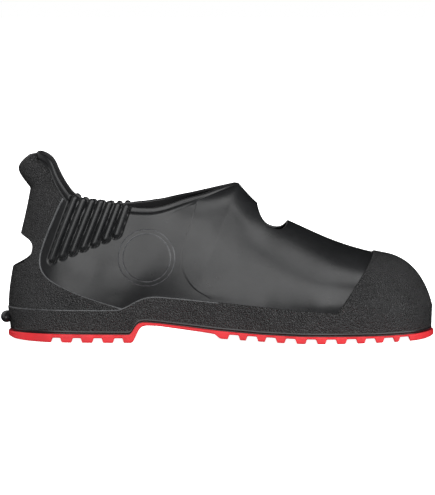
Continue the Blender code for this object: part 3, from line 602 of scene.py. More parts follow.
def fold_relief(x, z, depth):
    """Height of the soft folds: for each fold, a bell over the distance to its line, fading at the line's
    ends."""
    relief = np.zeros(x.shape)
    for from_x, from_z, to_x, to_z, half_width, height in FOLDS:
        run, rise = to_x - from_x, to_z - from_z
        length = math.hypot(run, rise)
        along = ((x - from_x) * run + (z - from_z) * rise) / length**2
        away = ((x - from_x) * rise - (z - from_z) * run) / length
        fade = ease(*FOLD_FADE[0], along) * (1 - ease(*FOLD_FADE[1], along))
        relief += depth * height * fade * np.exp(-((away / half_width) ** 2))
    return relief


def follow_vamp(u, t):
    """Columns moved so that a close set of them follows the vamp's edge down the wall. Below the rim the
    places are stretched between fixed stations and a band of even width along the edge."""
    line = edge_places(VAMP_LINE, VAMP_RANGE)
    top, low, high = line(1.0), *u_at(VAMP_REACH)
    rim_half, half = (
        VAMP_BAND / millimetres_per_unit(line(at), at, LATERAL)[0] for at in (t[:, -1:], t)
    )
    middle = line(t)
    before = low + (u - low) * (middle - half - low) / (top - rim_half - low)
    inside = middle + (u - top) * half / rim_half
    after = high - (high - u) * (high - middle - half) / (high - top - rim_half)
    moved = np.where(u < top - rim_half, before, np.where(u <= top + rim_half, inside, after))
    return np.where((u <= low) | (u >= high), u, moved)


def vamp_relief(u, t, side):
    """Height of the vamp's edge: above, the wall behind it rises to the edge and steps down across it; below,
    the vamp rises ahead of it in a softer step. The step fades at both ends of the edge."""
    signed = (u - edge_places(VAMP_LINE, VAMP_RANGE)(t)) * millimetres_per_unit(u, t, side)[0]
    fade = ease(*VAMP_STEP["fade_in_t"], t) * (1 - ease(*VAMP_STEP["fade_out_t"], t))
    (low, high), run_out = VAMP_STEP["half_width"], VAMP_STEP["run_out"]
    behind = (1 - ease(-high, high, signed)) * np.exp(np.minimum(signed, 0) / run_out)
    ahead = ease(-low, low, signed) * np.exp(-np.maximum(signed, 0) / run_out)
    upper = ease(*VAMP_STEP["turn_t"], t)
    return fade * (VAMP_STEP["height"][1] * upper * behind + VAMP_STEP["height"][0] * (1 - upper) * ahead)


def ring_of(lateral, medial):
    """One closed ring of columns: from the heel along the lateral side to the toe, back along the medial."""
    return np.concatenate([lateral, medial[::-1]])


def grid_faces(numbers):
    """Four-sided faces between neighbouring columns and rows of a grid of vertex numbers."""
    corners = (numbers[:-1, :-1], numbers[1:, :-1], numbers[1:, 1:], numbers[:-1, 1:])
    return np.stack(corners, -1).reshape(-1, 4)


def closed_mesh(name, grids, finishes=None):
    """One closed mesh from grids of points whose edges coincide: points that coincide are merged and the
    faces turned outwards. finishes gives the material of each grid's faces by number."""
    points, faces, numbers = [], [], []
    start = 0
    for i, grid in enumerate(grids):
        count = grid.shape[0] * grid.shape[1]
        cells = grid_faces(np.arange(start, start + count).reshape(grid.shape[:2]))
        points.append(grid.reshape(-1, 3) * MM)
        faces.append(cells)
        numbers.append(np.full(len(cells), finishes[i] if finishes else 0, np.int32))
        start += count
    mesh = bpy.data.meshes.new(name)
    mesh.from_pydata(np.concatenate(points).tolist(), [], np.concatenate(faces).tolist())
    mesh.polygons.foreach_set("material_index", np.concatenate(numbers))
    bm = bmesh.new()
    bm.from_mesh(mesh)
    bmesh.ops.remove_doubles(bm, verts=bm.verts, dist=MERGE)
    bmesh.ops.dissolve_degenerate(bm, edges=bm.edges, dist=MERGE / 4)
    bmesh.ops.recalc_face_normals(bm, faces=bm.faces)
    bm.to_mesh(mesh)
    bm.free()
    edge_of_corner = np.empty(len(mesh.loops), np.int32)
    mesh.loops.foreach_get("edge_index", edge_of_corner)
    if (np.bincount(edge_of_corner, minlength=len(mesh.edges)) != 2).any():
        raise RuntimeError(f"the surface of {name} isn't closed")
    return mesh


def shade(mesh, degrees):
    """Smooth shading, with the edges sharper than an angle kept."""
    mesh.shade_smooth()
    mesh.set_sharp_from_angle(angle=math.radians(degrees))


def add_piece(name, mesh, finishes, nodes):
    """Puts a mesh into the scene as a piece with its finishes, which rides on the part and stands for its
    nodes."""
    piece = bpy.data.objects.new(name, mesh)
    for finish in finishes:
        mesh.materials.append(material_named(finish))
    bpy.context.scene.collection.objects.link(piece)
    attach(piece, BODY)
    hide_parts(*nodes)
    return piece


def cut_opening(piece, cutter_mesh):
    """Takes a closed cutter out of a piece and keeps the result as the piece's own mesh."""
    cutter = bpy.data.objects.new("opening", cutter_mesh)
    bpy.context.scene.collection.objects.link(cutter)
    modifier = piece.modifiers.new("opening", "BOOLEAN")
    modifier.solver = "MANIFOLD"
    modifier.object = cutter
    shape = piece.evaluated_get(bpy.context.evaluated_depsgraph_get())
    result = bpy.data.meshes.new_from_object(shape)
    if len(result.polygons) == len(piece.data.polygons):
        raise RuntimeError(f"the opening in {piece.name} wasn't cut")
    piece.modifiers.clear()
    name, uncut = piece.data.name, piece.data
    piece.data = result
    bpy.data.meshes.remove(uncut)
    result.name = name
    bpy.data.objects.remove(cutter)
    bpy.data.meshes.remove(cutter_mesh)


def oval(count, half_a, half_b):
    """Points round an oval a little squarer than an ellipse: a power of the sine and cosine."""
    angle = np.linspace(0, 2 * math.pi, count, endpoint=False)
    c, s = np.cos(angle), np.sin(angle)
    power = 2 / OVAL_POWER
    return half_a * np.sign(c) * np.abs(c) ** power, half_b * np.sign(s) * np.abs(s) ** power


def opening_cutter(name, points, normals, proud, wall, radius, outside, inside):
    """Cutter whose wall follows an outline on the upper and flares at both faces, so that it leaves rounded
    edges: a quarter round below the outer face, the wall, a quarter round above the inner face, and a point
    at each end."""
    tangent = unit(np.roll(points, -1, 0) - np.roll(points, 1, 0))
    out = unit(np.cross(tangent, normals))
    out *= np.sign((out * (points - points.mean(0))).sum(-1, keepdims=True))
    turn = np.radians([0, 15, 30, 45, 60, 72])
    rows = []
    for depth, way in ((proud, 1), (-wall, -1)):
        base = points + normals * (depth - way * radius)
        arc = [base + out * radius * (1 - math.cos(a)) + normals * way * radius * math.sin(a) for a in turn]
        end = arc[-1] + 3 * (out * math.sin(turn[-1]) + normals * way * math.cos(turn[-1]))
        rows.append(arc + [end, end + normals * way * 3])
    rings = rows[1][::-1] + rows[0]
    ends = [np.broadcast_to(np.asarray(point, float), points.shape) for point in (inside, outside)]
    grid = np.stack([ends[0], *rings, ends[1]], 1)
    return closed_mesh(name, [np.concatenate([grid, grid[:1]])])


def heel_slot_cutter(proud, wall, radius):
    """Cutter for the slot at the back of the heel, an oval in back view."""
    y, z = oval(144, HEEL_SLOT["half_width"], HEEL_SLOT["half_height"])
    y, z = y - CENTRE_Y, z + HEEL_SLOT["z"]
    points, normals = np.empty((len(y), 3)), np.empty((len(y), 3))
    for side in (LATERAL, MEDIAL):
        mine = (y + CENTRE_Y) * side >= 0
        u, t = locate(y[mine], z[mine], [1, 2], side, (0.0, 0.2), (0.1, 0.8))
        points[mine], normals[mine] = surface(u, t, side), surface_normal(u, t, side)
    middle = points.mean(0)
    outside, inside = middle - [30, 0, 0], middle + [26, 0, 0]
    return opening_cutter("heel_slot", points, normals, proud, wall, radius, outside, inside)


def instep_hole_cutter(wall, radius):
    """Cutter for the hole on the ridge of the instep, an oval in top view."""
    middle_y = float(AXIS(INSTEP_HOLE["x"])) - CENTRE_Y
    x, y = oval(144, INSTEP_HOLE["half_length"], INSTEP_HOLE["half_width"])
    x, y = x + INSTEP_HOLE["x"], y + middle_y
    points, normals = np.empty((len(x), 3)), np.empty((len(x), 3))
    for side in (LATERAL, MEDIAL):
        mine = (y - middle_y) * side >= 0
        u, t = locate(x[mine], y[mine], [0, 1], side, (float(THROAT_U), float(POLE_U)), (0.3, 1.0))
        points[mine], normals[mine] = surface(u, t, side), surface_normal(u, t, side)
    middle = points.mean(0)
    outside, inside = middle + [0, 0, 30], middle - [0, 0, 30]
    return opening_cutter("instep_hole", points, normals, 0.0, wall, radius, outside, inside)


def upper_columns():
    """Places round the sole of the upper's columns, close on the ribs and along the vamp's edge."""
    edge = float(edge_places(VAMP_LINE, VAMP_RANGE)(1.0))
    half = VAMP_BAND / millimetres_per_unit(np.full(1, edge), np.ones(1), LATERAL)[0][0]
    heel, ribs, after_ribs, reach, ahead, cap, cap_end, toe = u_at(
        (HEEL_X, *RIB_REACH, *VAMP_REACH, CAP_FOOT_X, CAP_REACH, TOE_X)
    )
    places = (heel, ribs, after_ribs, reach, edge - half, edge + half, THROAT_U, ahead, cap, cap_end, toe)
    return spaced(np.array(places), (42, 120, 3, 34, 24, 18, 28, 34, 4, 16))


def upper_grids(sizes):
    """Grids of the upper: outer face, rounded rim, inner face and foot. The outer face is the section surface
    plus the ribs, the bead, the folds and the vamp's edge. The rim is a half ellipse between the two faces,
    higher at the top of each rib."""
    wall = sizes.upper_wall / MM
    places = upper_columns()[:, None]
    start, slope = rim_t(places), rim_slope(places)
    rim_rows = np.linspace(RIM_ZONE, 0, 17)[None, :]
    body = np.linspace(0, 1, 84, endpoint=False)[None, :] * (start - RIM_ZONE / slope)
    t = np.concatenate([body, start - rim_rows / slope], 1)
    inner_t = np.linspace(0, 1, 24)[None, :] * start
    u, inner_u = follow_vamp(places, t), follow_vamp(places, inner_t)
    around = np.linspace(0, math.pi, 13)[None, :, None]
    on_rim = places[:, 0] < THROAT_U + 1e-9
    outer, inner, rim = [], [], []
    for side in (LATERAL, MEDIAL):
        bare = surface(u, t, side)
        ribs, notches = rib_relief(u, t, side, sizes.rib_count, sizes.rib_proud / MM)
        relief = ribs - notches + bead_relief(u, t, sizes.rib_count, sizes.bead_proud / MM)
        relief += fold_relief(bare[..., 0], bare[..., 2], sizes.fold_depth / MM)
        relief += vamp_relief(u, t, side)
        face = offset_surface(u, t, side, relief)
        lining = offset_surface(inner_u, inner_t, side, np.full(inner_t.shape, -wall))
        for grid in (face, lining):
            grid[:, 0, 2] -= 2 * GAP
        outer.append(face)
        inner.append(lining)
        edge_u, edge_t = places[on_rim], start[on_rim]
        base, normal = surface(edge_u, edge_t, side), surface_normal(edge_u, edge_t, side)
        line = unit(np.gradient(base[:, 0], axis=0))[:, None]
        up = slopes(edge_u, edge_t, side)[1]
        up = unit(up - (up * line).sum(-1, keepdims=True) * line)
        back = np.stack([-normal[-1, :, 2], np.zeros(1), normal[-1, :, 0]], -1)
        share = ease(THROAT_U - THROAT_EASE["turn"], THROAT_U, edge_u)[..., None]
        up = up * (1 - share) + back * share
        up[0, :, 1] = 0.0
        up = unit(up) * (RIM_ROUND + RIB_TOP_SHARE * ribs[on_rim, -1])[:, None, None]
        proud = relief[on_rim, -1][:, None, None]
        middle, half = (proud - wall) / 2, (proud + wall) / 2
        rim.append(base + normal * (middle + half * np.cos(around)) + up * np.sin(around))
    foot = [np.stack([a[:, 0], b[:, 0]], 1) for a, b in zip(outer, inner)]
    return [ring_of(*outer), ring_of(*rim), ring_of(*foot), ring_of(*inner)]


def overlay_height(distances, proud):
    """Height of an overlay above the upper: proud inside, falling in a quarter round to its edges, which are
    sunk a little into the upper. distances holds how far each point is from each edge."""
    share = np.ones(np.broadcast_shapes(*(d.shape for d in distances)))
    for distance in distances:
        share = share * quarter_round(distance, OVERLAY_EDGE)
    return (proud + EDGE_SINK) * share - EDGE_SINK


def overlay_grids(faces, backs):
    """Grids of an overlay from its two halves: its face, its back and its foot in the sidewall."""
    for grid in (*faces, *backs):
        grid[:, 0, 2] -= 2 * GAP
    face, back = (np.concatenate([lateral[::-1], medial]) for lateral, medial in (faces, backs))
    return face, back, np.stack([face[:, 0], back[:, 0]], 1)


def toe_cap_grids(sizes):
    """Grids of the toe cap: the front of the upper's surface at the overlay's height, its back and its foot.
    Columns run from the toe to the cap's edge."""
    edge = float(u_at(CAP_FOOT_X))
    close = [0, 0.0005, 0.001, 0.002, 0.0032, 0.0045, 0.006]
    shares = np.concatenate([close, np.linspace(0.009, 1 - edge, 86)])
    u = (edge + shares[::-1])[:, None]
    t = np.linspace(0, 1, 80)[None, :]
    faces, backs = [], []
    for side in (LATERAL, MEDIAL):
        across = millimetres_per_unit(np.full_like(t, edge), t, side)[0]
        height = overlay_height([(u - edge) * across], sizes.cap_proud / MM)
        faces.append(offset_surface(u, t, side, height))
        backs.append(offset_surface(u, t, side, np.full_like(height, -EDGE_SINK)))
    return overlay_grids(faces, backs)


def counter_grids(sizes):
    """Grids of the heel counter with the pull grip: the back of the upper's surface at the overlay's height
    plus the grip's rise, in a smooth band along each front edge, which takes a painted highlight, and the
    grained rest, then its back and its foot. Columns run from the heel seam to the counter's edge."""
    shares = np.linspace(0, 1, 110)[None, :]
    steps = np.array([4.0, 3.0, 2.2, 1.6, 1.1, 0.8, 0.5, 0.25, 0.1, 0.0])[:, None]
    band = int((steps <= OVERLAY_EDGE).sum())
    edge = edge_places(COUNTER_EDGE, COUNTER_RANGE)
    seam_to_edge = np.linspace(0, 1, 64, endpoint=False)[:, None]
    guess_u = edge(shares) * np.concatenate([seam_to_edge, np.ones_like(steps)])
    under_bead = COUNTER_BELOW_RIM * ease(*BEAD_FROM_U, guess_u) / rim_slope(guess_u)
    t = shares * (rim_t(guess_u) - under_bead)
    limit = edge(t)
    top = t[:, -1:]
    faces, backs = [], []
    for side in (LATERAL, MEDIAL):
        across, up = millimetres_per_unit(limit, t, side)
        start = limit[: len(seam_to_edge)] - steps[0] / across[: len(seam_to_edge)]
        u = np.concatenate([seam_to_edge * start, limit[len(seam_to_edge) :] - steps / across[-len(steps) :]])
        u = np.clip(u, 0, 1)
        height = overlay_height([(limit - u) * across, (top - t) * up], sizes.counter_proud / MM)
        y = surface(u, t, side)[..., 1] + CENTRE_Y
        rise = np.maximum(smooth_line(GRIP_PROFILE["t"], GRIP_PROFILE["out"])(t), 0)
        rise *= (t > GRIP_PROFILE["t"][0]) * (1 - ease(*GRIP_SIDES, np.abs(y)))
        rise *= quarter_round((top - t) * up, OVERLAY_EDGE)
        faces.append(offset_surface(u, t, side, height + rise))
        backs.append(offset_surface(u, t, side, np.full_like(height, -EDGE_SINK)))
    face, back, foot = overlay_grids(faces, backs)
    return face[:band], face[band - 1 : 1 - band], face[-band:], back, foot


def boss_grids(side, proud):
    """Grids of a boss: its face in rings round its centre in side view, raised by two low eased steps and a
    slight dome, split at the steps so that their rings can take a painted highlight, and its back. The edge
    is sunk a little into the upper."""
    angle = np.linspace(0, 2 * math.pi, 145)[:, None]
    radius = np.concatenate([np.linspace(0, 16, 14), np.linspace(16.4, BOSS_RADIUS, 38)])[None, :]
    x, z = BOSS_CENTRE[0] + np.cos(angle) * radius, BOSS_CENTRE[1] + np.sin(angle) * radius
    u, t = locate(x, z, [0, 2], side, *BOSS_RANGES)
    section = BOSS_DOME * np.clip(1 - (radius / BOSS_RADIUS) ** 2, 0, None)
    for inner, outer, height in BOSS_STEPS:
        section = section + height * (1 - ease(inner, outer, radius))
    section = proud * section - EDGE_SINK * ease(BOSS_RADIUS - 0.5, BOSS_RADIUS, radius)
    face = offset_surface(u, t, side, section + np.zeros_like(u))
    back = offset_surface(u, t, side, np.full_like(u, -EDGE_SINK))
    for grid in (face, back):
        grid[:, 0] = grid[0, 0]
        grid[-1] = grid[0]
    face[:, -1] = back[:, -1]
    splits = np.searchsorted(radius[0], [r for inner, outer, _ in BOSS_STEPS for r in (inner, outer)])
    bounds = [0, *splits, radius.shape[1] - 1]
    return [face[:, a : b + 1] for a, b in zip(bounds, bounds[1:])] + [back]


def across_between(lateral, medial, count):
    """Rows straight across from the lateral edge of a section to the medial one."""
    share = np.linspace(0, 1, count)[None, :, None]
    return lateral[:, None] * (1 - share) + medial[:, None] * share


def sidewall_grids(sizes):
    """Grids of the sidewall: at each place round the sole a section from the joint up a smooth moulded foot
    and the drafted outside to a rounded top edge, over the ledge and down to the floor. The floor and the
    underside run straight across. At the toe the top edge is square, flush with the cap."""
    u = spaced(u_at((HEEL_X, -150, -80, -40, 20, CAP_FOOT_X, TOE_X)), (50, 70, 60, 40, 50, 70))
    station = plan(u, LATERAL)[0]
    low, top, floor = JOINT_Z(station), SIDEWALL_Z(station), FLOOR_Z(station)
    ahead = ease(EDGE_LINE_TO_X - EDGE_EASE, EDGE_LINE_TO_X + EDGE_EASE, station)
    at_cap = ease(CAP_FOOT_X - CAP_EASE, CAP_FOOT_X, station)
    radius = TOP_EDGE + (FORE_EDGE - TOP_EDGE) * ahead + (CAP_TOP_EDGE - FORE_EDGE) * at_cap
    radius = radius[:, None]
    height = (top - low)[:, None] - radius
    foot_height = SIDEWALL_FOOT["above"][-1]
    foot_rows = np.broadcast_to(np.linspace(0, foot_height, FOOT_ROWS), (len(u), FOOT_ROWS))
    wall_rows = foot_height + np.linspace(0, 1, 22)[1:] * (height - foot_height)
    above = np.concatenate([foot_rows, wall_rows], 1)
    inset = SIDEWALL_INSET + SIDEWALL_DRAFT * (1 - above / height)
    inset += smooth_line(SIDEWALL_FOOT["above"], SIDEWALL_FOOT["inset"], level_end=True)(above)
    turn = np.linspace(0, math.pi / 2, 8)[None, 1:]
    ledge = UPPER_INSET + sizes.upper_wall / MM
    round_inset = SIDEWALL_INSET + radius * (1 - np.cos(turn))
    round_z = top[:, None] - radius + radius * np.sin(turn)
    inside_inset = np.broadcast_to(ledge + np.array(LEDGE_INSETS), (len(u), len(LEDGE_INSETS)))
    inside_z = np.stack([top, top - LEDGE_BEVEL, (top + floor) / 2, floor], 1)
    lean = heel_overhang(u)[:, None]
    insets = np.concatenate([inset - lean * above / height, round_inset - lean, inside_inset - lean], 1)
    heights = np.concatenate([low[:, None] + above, round_z, inside_z], 1)
    walls = []
    for side in (LATERAL, MEDIAL):
        x, y = ring(u[:, None], side, insets)
        walls.append(np.stack([x, y, heights], -1))
    floor_rows = across_between(walls[0][:, -1], walls[1][:, -1], 14)
    under_rows = across_between(walls[0][:, 0], walls[1][:, 0], 4)
    wall = ring_of(*walls)
    line_end = np.abs(station - EDGE_LINE_TO_X).argmin()
    foot_end, edge, inside = FOOT_ROWS - 1, above.shape[1] - 1, -len(LEDGE_INSETS)
    grained = (wall[:, foot_end : edge + 1], wall[line_end : len(wall) - line_end, edge:inside], under_rows)
    # The top edge's rows towards the heel take the lighter edge finish: a painted highlight line along the
    # edge.
    edges = (wall[: line_end + 1, edge:inside], wall[-line_end - 1 :, edge:inside])
    return grained, (wall[:, : foot_end + 1],), (wall[:, inside - 1 :], floor_rows), edges


def tread_lift(x, y, depth):
    """How far the tread is cut up from the ground: sloped grooves across it and a channel along it, with
    rounded corners. Each is a ramp up, a ceiling and a ramp down."""
    lift = np.zeros(np.broadcast(x, y).shape)
    for grooves in (HEEL_GROOVES, FORE_GROOVES):
        slope = (grooves["mouth"] - grooves["ceiling"]) / 2
        for groove in grooves["x"]:
            share = (grooves["mouth"] / 2 - np.abs(x - groove)) / slope
            lift = np.maximum(lift, soft_ramp(share, GROOVE_SOFTNESS))
    middle = AXIS(x) - CENTRE_Y
    share = (CHANNEL["width"] / 2 + CHANNEL["spread"] - np.abs(y - middle)) / CHANNEL["slope"]
    channel = CHANNEL["depth_share"] * soft_ramp(share, CHANNEL["softness"])
    run_in = CHANNEL["run_in"]
    for start, end in CHANNELS:
        inside = ease(start, start + run_in, x) * (1 - ease(end - run_in, end, x))
        lift = np.maximum(lift, channel * inside)
    return depth * lift


def outsole_grids(sizes):
    """Grids of the outsole: at each station the two side walls with a rounded lower edge, the tread across
    the bottom with its grooves cut up, and the top straight across."""
    grooves = np.array(HEEL_GROOVES["x"] + FORE_GROOVES["x"])[:, None]
    cuts = (grooves + np.concatenate([-GROOVE_COLUMNS, GROOVE_COLUMNS])).ravel()
    plain = spaced(u_at((HEEL_X, -148, -60, 0, 145, TOE_X)), (26, 40, 24, 60, 30))
    close = u_at(np.concatenate([cuts, HEEL_FRONT_COLUMNS, FORE_START_COLUMNS]))
    u = np.unique(np.concatenate([plain, close]))
    station = plan(u, LATERAL)[0]
    depth, radius = sizes.groove_depth / MM, OUTSOLE_EDGE["radius"]
    top = JOINT_Z(station) - GAP / 2
    middle = AXIS(station) - CENTRE_Y
    turn = np.linspace(0, math.pi / 2, 7)
    walls = []
    for side in (LATERAL, MEDIAL):
        x, y = ring(u, side, 0.0)
        ground = TREAD_Z(station) + tread_lift(station, y, depth)
        straight = np.linspace(0, 1, 7, endpoint=False)[None, :]
        heights = top[:, None] + straight * (ground + radius - top)[:, None]
        round_z = (ground + radius)[:, None] - radius * np.sin(turn)
        insets = np.concatenate([np.zeros(straight.size), radius * (1 - np.cos(turn))])
        insets[0] = OUTSOLE_EDGE["top_inset"]
        x, y = ring(u[:, None], side, insets[None, :])
        walls.append(np.stack([x, y, np.concatenate([heights, round_z], 1)], -1))
    lateral, medial = walls[0][:, -1], walls[1][:, -1]
    near = np.linspace(0, 1, 12, endpoint=False)[None, :]
    room = np.minimum(middle - lateral[:, 1], medial[:, 1] - middle)
    half = np.minimum(CHANNEL["width"], CHANNEL["room"] * room)
    channel = middle[:, None] + half[:, None] * np.linspace(-1, 1, 25)
    y_near = lateral[:, 1:2] + near * (channel[:, :1] - lateral[:, 1:2])
    y_far = medial[:, 1:2] + near[:, ::-1] * (channel[:, -1:] - medial[:, 1:2])
    y = np.concatenate([y_near, channel, y_far[:, :-1], medial[:, 1:2]], 1)
    span = np.maximum(medial[:, 1:2] - lateral[:, 1:2], 1e-9)
    share = (y - lateral[:, 1:2]) / span
    x = lateral[:, :1] * (1 - share) + medial[:, :1] * share
    z = TREAD_Z(station)[:, None] + tread_lift(station[:, None], y, depth)
    z[:, 0], z[:, -1] = lateral[:, 2], medial[:, 2]
    tread = np.stack([x, y, z], -1)
    tread[:, 0], tread[:, -1] = lateral, medial
    cover = across_between(walls[0][:, 0], walls[1][:, 0], 4)
    return [ring_of(*walls), tread, cover]


def kick_lug_grids():
    """Grid of the kick-off lug: an ellipsoid whose front is flattened against the heel."""
    around = np.linspace(0, 2 * math.pi, 65)[:, None]
    along = np.linspace(0, math.pi, 41)[None, :]
    radius, half_width = KICK_LUG["radius"], KICK_LUG["half_width"]
    x = HEEL_X - KICK_LUG_REACH + radius + radius * np.sin(along) * np.cos(around)
    y = half_width * np.cos(along) + np.zeros_like(around)
    z = KICK_LUG["z"] + radius * np.sin(along) * np.sin(around)
    x = np.minimum(x, HEEL_X + SIDEWALL_INSET + KICK_LUG["sink"])
    return [np.stack([x, y - CENTRE_Y, z], -1)]


def shader_of(material):
    """A material's own shader."""
    return material.node_tree.nodes["Principled BSDF"]


def new_material(name, colour, roughness):
    """Material with a plain shader, and its object coordinates."""
    material = bpy.data.materials.new(name)
    material.use_nodes = True
    material.diffuse_color = (*colour, 1)
    shader = shader_of(material)
    shader.inputs["Base Color"].default_value = (*colour, 1)
    shader.inputs["Roughness"].default_value = roughness
    place = material.node_tree.nodes.new("ShaderNodeTexCoord")
    place.name = "Place"
    return material


def new_group(name, inputs, outputs):
    """Node group with value inputs and their defaults, a vector input for the place, and outputs by type."""
    group = bpy.data.node_groups.new(name, "ShaderNodeTree")
    group.interface.new_socket("Place", in_out="INPUT", socket_type="NodeSocketVector")
    for label, default in inputs.items():
        socket = group.interface.new_socket(label, in_out="INPUT", socket_type="NodeSocketFloat")
        socket.default_value = default
    for label in outputs:
        group.interface.new_socket(label, in_out="OUTPUT", socket_type="NodeSocketFloat")
    return group, group.nodes.new("NodeGroupInput"), group.nodes.new("NodeGroupOutput")


def math_node(tree, operation, first, second):
    """A sum, product or the like of two sockets or numbers."""
    node = tree.nodes.new("ShaderNodeMath")
    node.operation = operation
    for socket, value in zip(node.inputs, (first, second)):
        if isinstance(value, bpy.types.NodeSocket):
            tree.links.new(value, socket)
        else:
            socket.default_value = value
    return node.outputs[0]


def moulding_mottle():
    """Slow unevenness of a moulded surface: two noises, about 0 on average, scaled by an amount."""
    group, given, result = new_group("Moulding mottle", {"Size": 0.012, "Amount": 0.1}, ("Value",))
    scale = math_node(group, "DIVIDE", 1.0, given.outputs["Size"])
    total = 0.0
    for times, share in ((1.0, 1.3), (5.0, 0.7)):
        noise = group.nodes.new("ShaderNodeTexNoise")
        noise.inputs["Detail"].default_value = 3.0
        group.links.new(given.outputs["Place"], noise.inputs["Vector"])
        group.links.new(math_node(group, "MULTIPLY", scale, times), noise.inputs["Scale"])
        centred = math_node(group, "SUBTRACT", noise.outputs["Fac"], 0.5)
        total = math_node(group, "ADD", math_node(group, "MULTIPLY", centred, share), total)
    group.links.new(math_node(group, "MULTIPLY", total, given.outputs["Amount"]), result.inputs["Value"])
    return group


def pebble_grain():
    """Moulded pebble grain: rounded cells of the given size, uneven in height. Height is 1 on a pebble's top
    and 0 in the valleys between pebbles."""
    group, given, result = new_group("Pebble grain", {"Size": 0.0011, "Unevenness": 0.4}, ("Height",))
    scale = math_node(group, "DIVIDE", 1.0, given.outputs["Size"])
    cells = group.nodes.new("ShaderNodeTexVoronoi")
    cells.feature = "SMOOTH_F1"
    cells.inputs["Smoothness"].default_value = 0.35
    noise = group.nodes.new("ShaderNodeTexNoise")
    noise.inputs["Detail"].default_value = 2.0
    for node in (cells, noise):
        group.links.new(given.outputs["Place"], node.inputs["Vector"])
    group.links.new(scale, cells.inputs["Scale"])
    group.links.new(math_node(group, "MULTIPLY", scale, 0.45), noise.inputs["Scale"])
    pebble = math_node(group, "SUBTRACT", 1.0, cells.outputs["Distance"])
    uneven = math_node(group, "MULTIPLY", noise.outputs["Fac"], given.outputs["Unevenness"])
    group.links.new(math_node(group, "ADD", pebble, uneven), result.inputs["Height"])
    return group


def place_group(material, group, values):
    """A node group in a material, at the object's own coordinates, with its values."""
    tree = material.node_tree
    node = tree.nodes.new("ShaderNodeGroup")
    node.node_tree = group
    tree.links.new(tree.nodes["Place"].outputs["Object"], node.inputs["Place"])
    for label, value in values.items():
        node.inputs[label].default_value = value
    return node


def vary_roughness(material, group, roughness, size, amount):
    """Roughness that wanders about its mean with the moulding's unevenness."""
    mottle = place_group(material, group, {"Size": size, "Amount": amount})
    tree = material.node_tree
    total = math_node(tree, "ADD", mottle.outputs["Value"], roughness)
    tree.links.new(total, shader_of(material).inputs["Roughness"])


def vary_colour(material, group, colours, size):
    """Colour that wanders between two shades with the moulding's unevenness."""
    tree = material.node_tree
    mottle = place_group(material, group, {"Size": size, "Amount": 1.0})
    ramp = tree.nodes.new("ShaderNodeValToRGB")
    for stop, colour, place in zip(ramp.color_ramp.elements, colours, (0.3, 0.7)):
        stop.color = (*colour, 1)
        stop.position = place
    tree.links.new(math_node(tree, "ADD", mottle.outputs["Value"], 0.5), ramp.inputs["Fac"])
    tree.links.new(ramp.outputs["Color"], shader_of(material).inputs["Base Color"])


def add_bump(material, height, depth, strength):
    """Bump from a height socket, of a depth in metres."""
    tree = material.node_tree
    bump = tree.nodes.new("ShaderNodeBump")
    bump.inputs["Distance"].default_value = depth
    bump.inputs["Strength"].default_value = strength
    tree.links.new(height, bump.inputs["Height"])
    tree.links.new(bump.outputs["Normal"], shader_of(material).inputs["Normal"])


def shades(colour, spread):
    """A darker and a lighter shade of a colour."""
    return [tuple(c * (1 + way * spread) for c in colour) for way in (-1, 1)]


def material_named(name):
    """A finish of the overshoe, made once."""
    return bpy.data.materials.get(name) or FINISHES[name](bpy.context.scene.overshoe_finishes)


def group_named(name):
    """A shared effect, made once."""
    return bpy.data.node_groups.get(name) or EFFECTS[name]()


def moulded_material(name, colour, roughness, tint, gloss):
    """Material of a moulding, whose colour and roughness wander slowly about their means. tint gives the
    colour's spread and the size of its patches, gloss the roughness's amount and the size of its patches."""
    material = new_material(name, colour, roughness)
    mottle = group_named("Moulding mottle")
    vary_colour(material, mottle, shades(colour, tint["spread"]), tint["size"])
    vary_roughness(material, mottle, roughness, gloss["size"], gloss["amount"])
    return material


def satin_wall(finishes):
    """Satin moulded wall: nearly black, with slow changes of gloss and a faint uneven surface."""
    tint, gloss = {"spread": 0.12, "size": 0.03}, {"amount": 0.12, "size": 0.02}
    colour = tuple(finishes.smooth_colour)
    material = moulded_material("satin_wall", colour, finishes.smooth_roughness, tint, gloss)
    fine = place_group(material, group_named("Moulding mottle"), {"Size": 0.002, "Amount": 1.0})
    add_bump(material, fine.outputs["Value"], depth=0.00004, strength=0.5)
    return material


def bright_edge(finishes):
    """Painted highlight for the rounded edges: a lighter black than the wall, standing in for the light that
    the edges catch.
    """
    tint, gloss = {"spread": 0.3, "size": 0.004}, {"amount": 0.12, "size": 0.01}
    colour = tuple(finishes.edge_highlight_colour)
    return moulded_material("bright_edge", colour, finishes.smooth_roughness, tint, gloss)


def pebbled_wall(finishes):
    """Grained wall: black pebbles with valleys between them."""
    tint, gloss = {"spread": 0.15, "size": 0.02}, {"amount": 0.15, "size": 0.006}
    colour = tuple(finishes.grain_colour)
    material = moulded_material("pebbled_wall", colour, finishes.grain_roughness, tint, gloss)
    values = {"Size": finishes.grain_size, "Unevenness": 0.15}
    grain = place_group(material, group_named("Pebble grain"), values)
    add_bump(material, grain.outputs["Height"], depth=finishes.grain_depth, strength=1.0)
    return material


def inner_face(finishes):
    """Inner face of the upper: duller than the outside, with a fine moulded texture."""
    tint, gloss = {"spread": 0.15, "size": 0.03}, {"amount": 0.1, "size": 0.01}
    colour = tuple(finishes.inside_colour)
    material = moulded_material("inner_face", colour, finishes.inside_roughness, tint, gloss)
    shader_of(material).inputs["Specular IOR Level"].default_value = 0.25
    grain = place_group(material, group_named("Pebble grain"), {"Size": 0.0007, "Unevenness": 0.8})
    add_bump(material, grain.outputs["Height"], depth=0.00008, strength=0.8)
    return material


def red_tread(finishes):
    """Outsole: bright red with slight clouding and a faint moulded texture."""
    tint, gloss = {"spread": 0.08, "size": 0.015}, {"amount": 0.12, "size": 0.01}
    colour = tuple(finishes.tread_colour)
    material = moulded_material("red_tread", colour, finishes.tread_roughness, tint, gloss)
    shader_of(material).inputs["Specular IOR Level"].default_value = 0.3
    fine = place_group(material, group_named("Moulding mottle"), {"Size": 0.0015, "Amount": 1.0})
    add_bump(material, fine.outputs["Value"], depth=0.00005, strength=0.6)
    return material


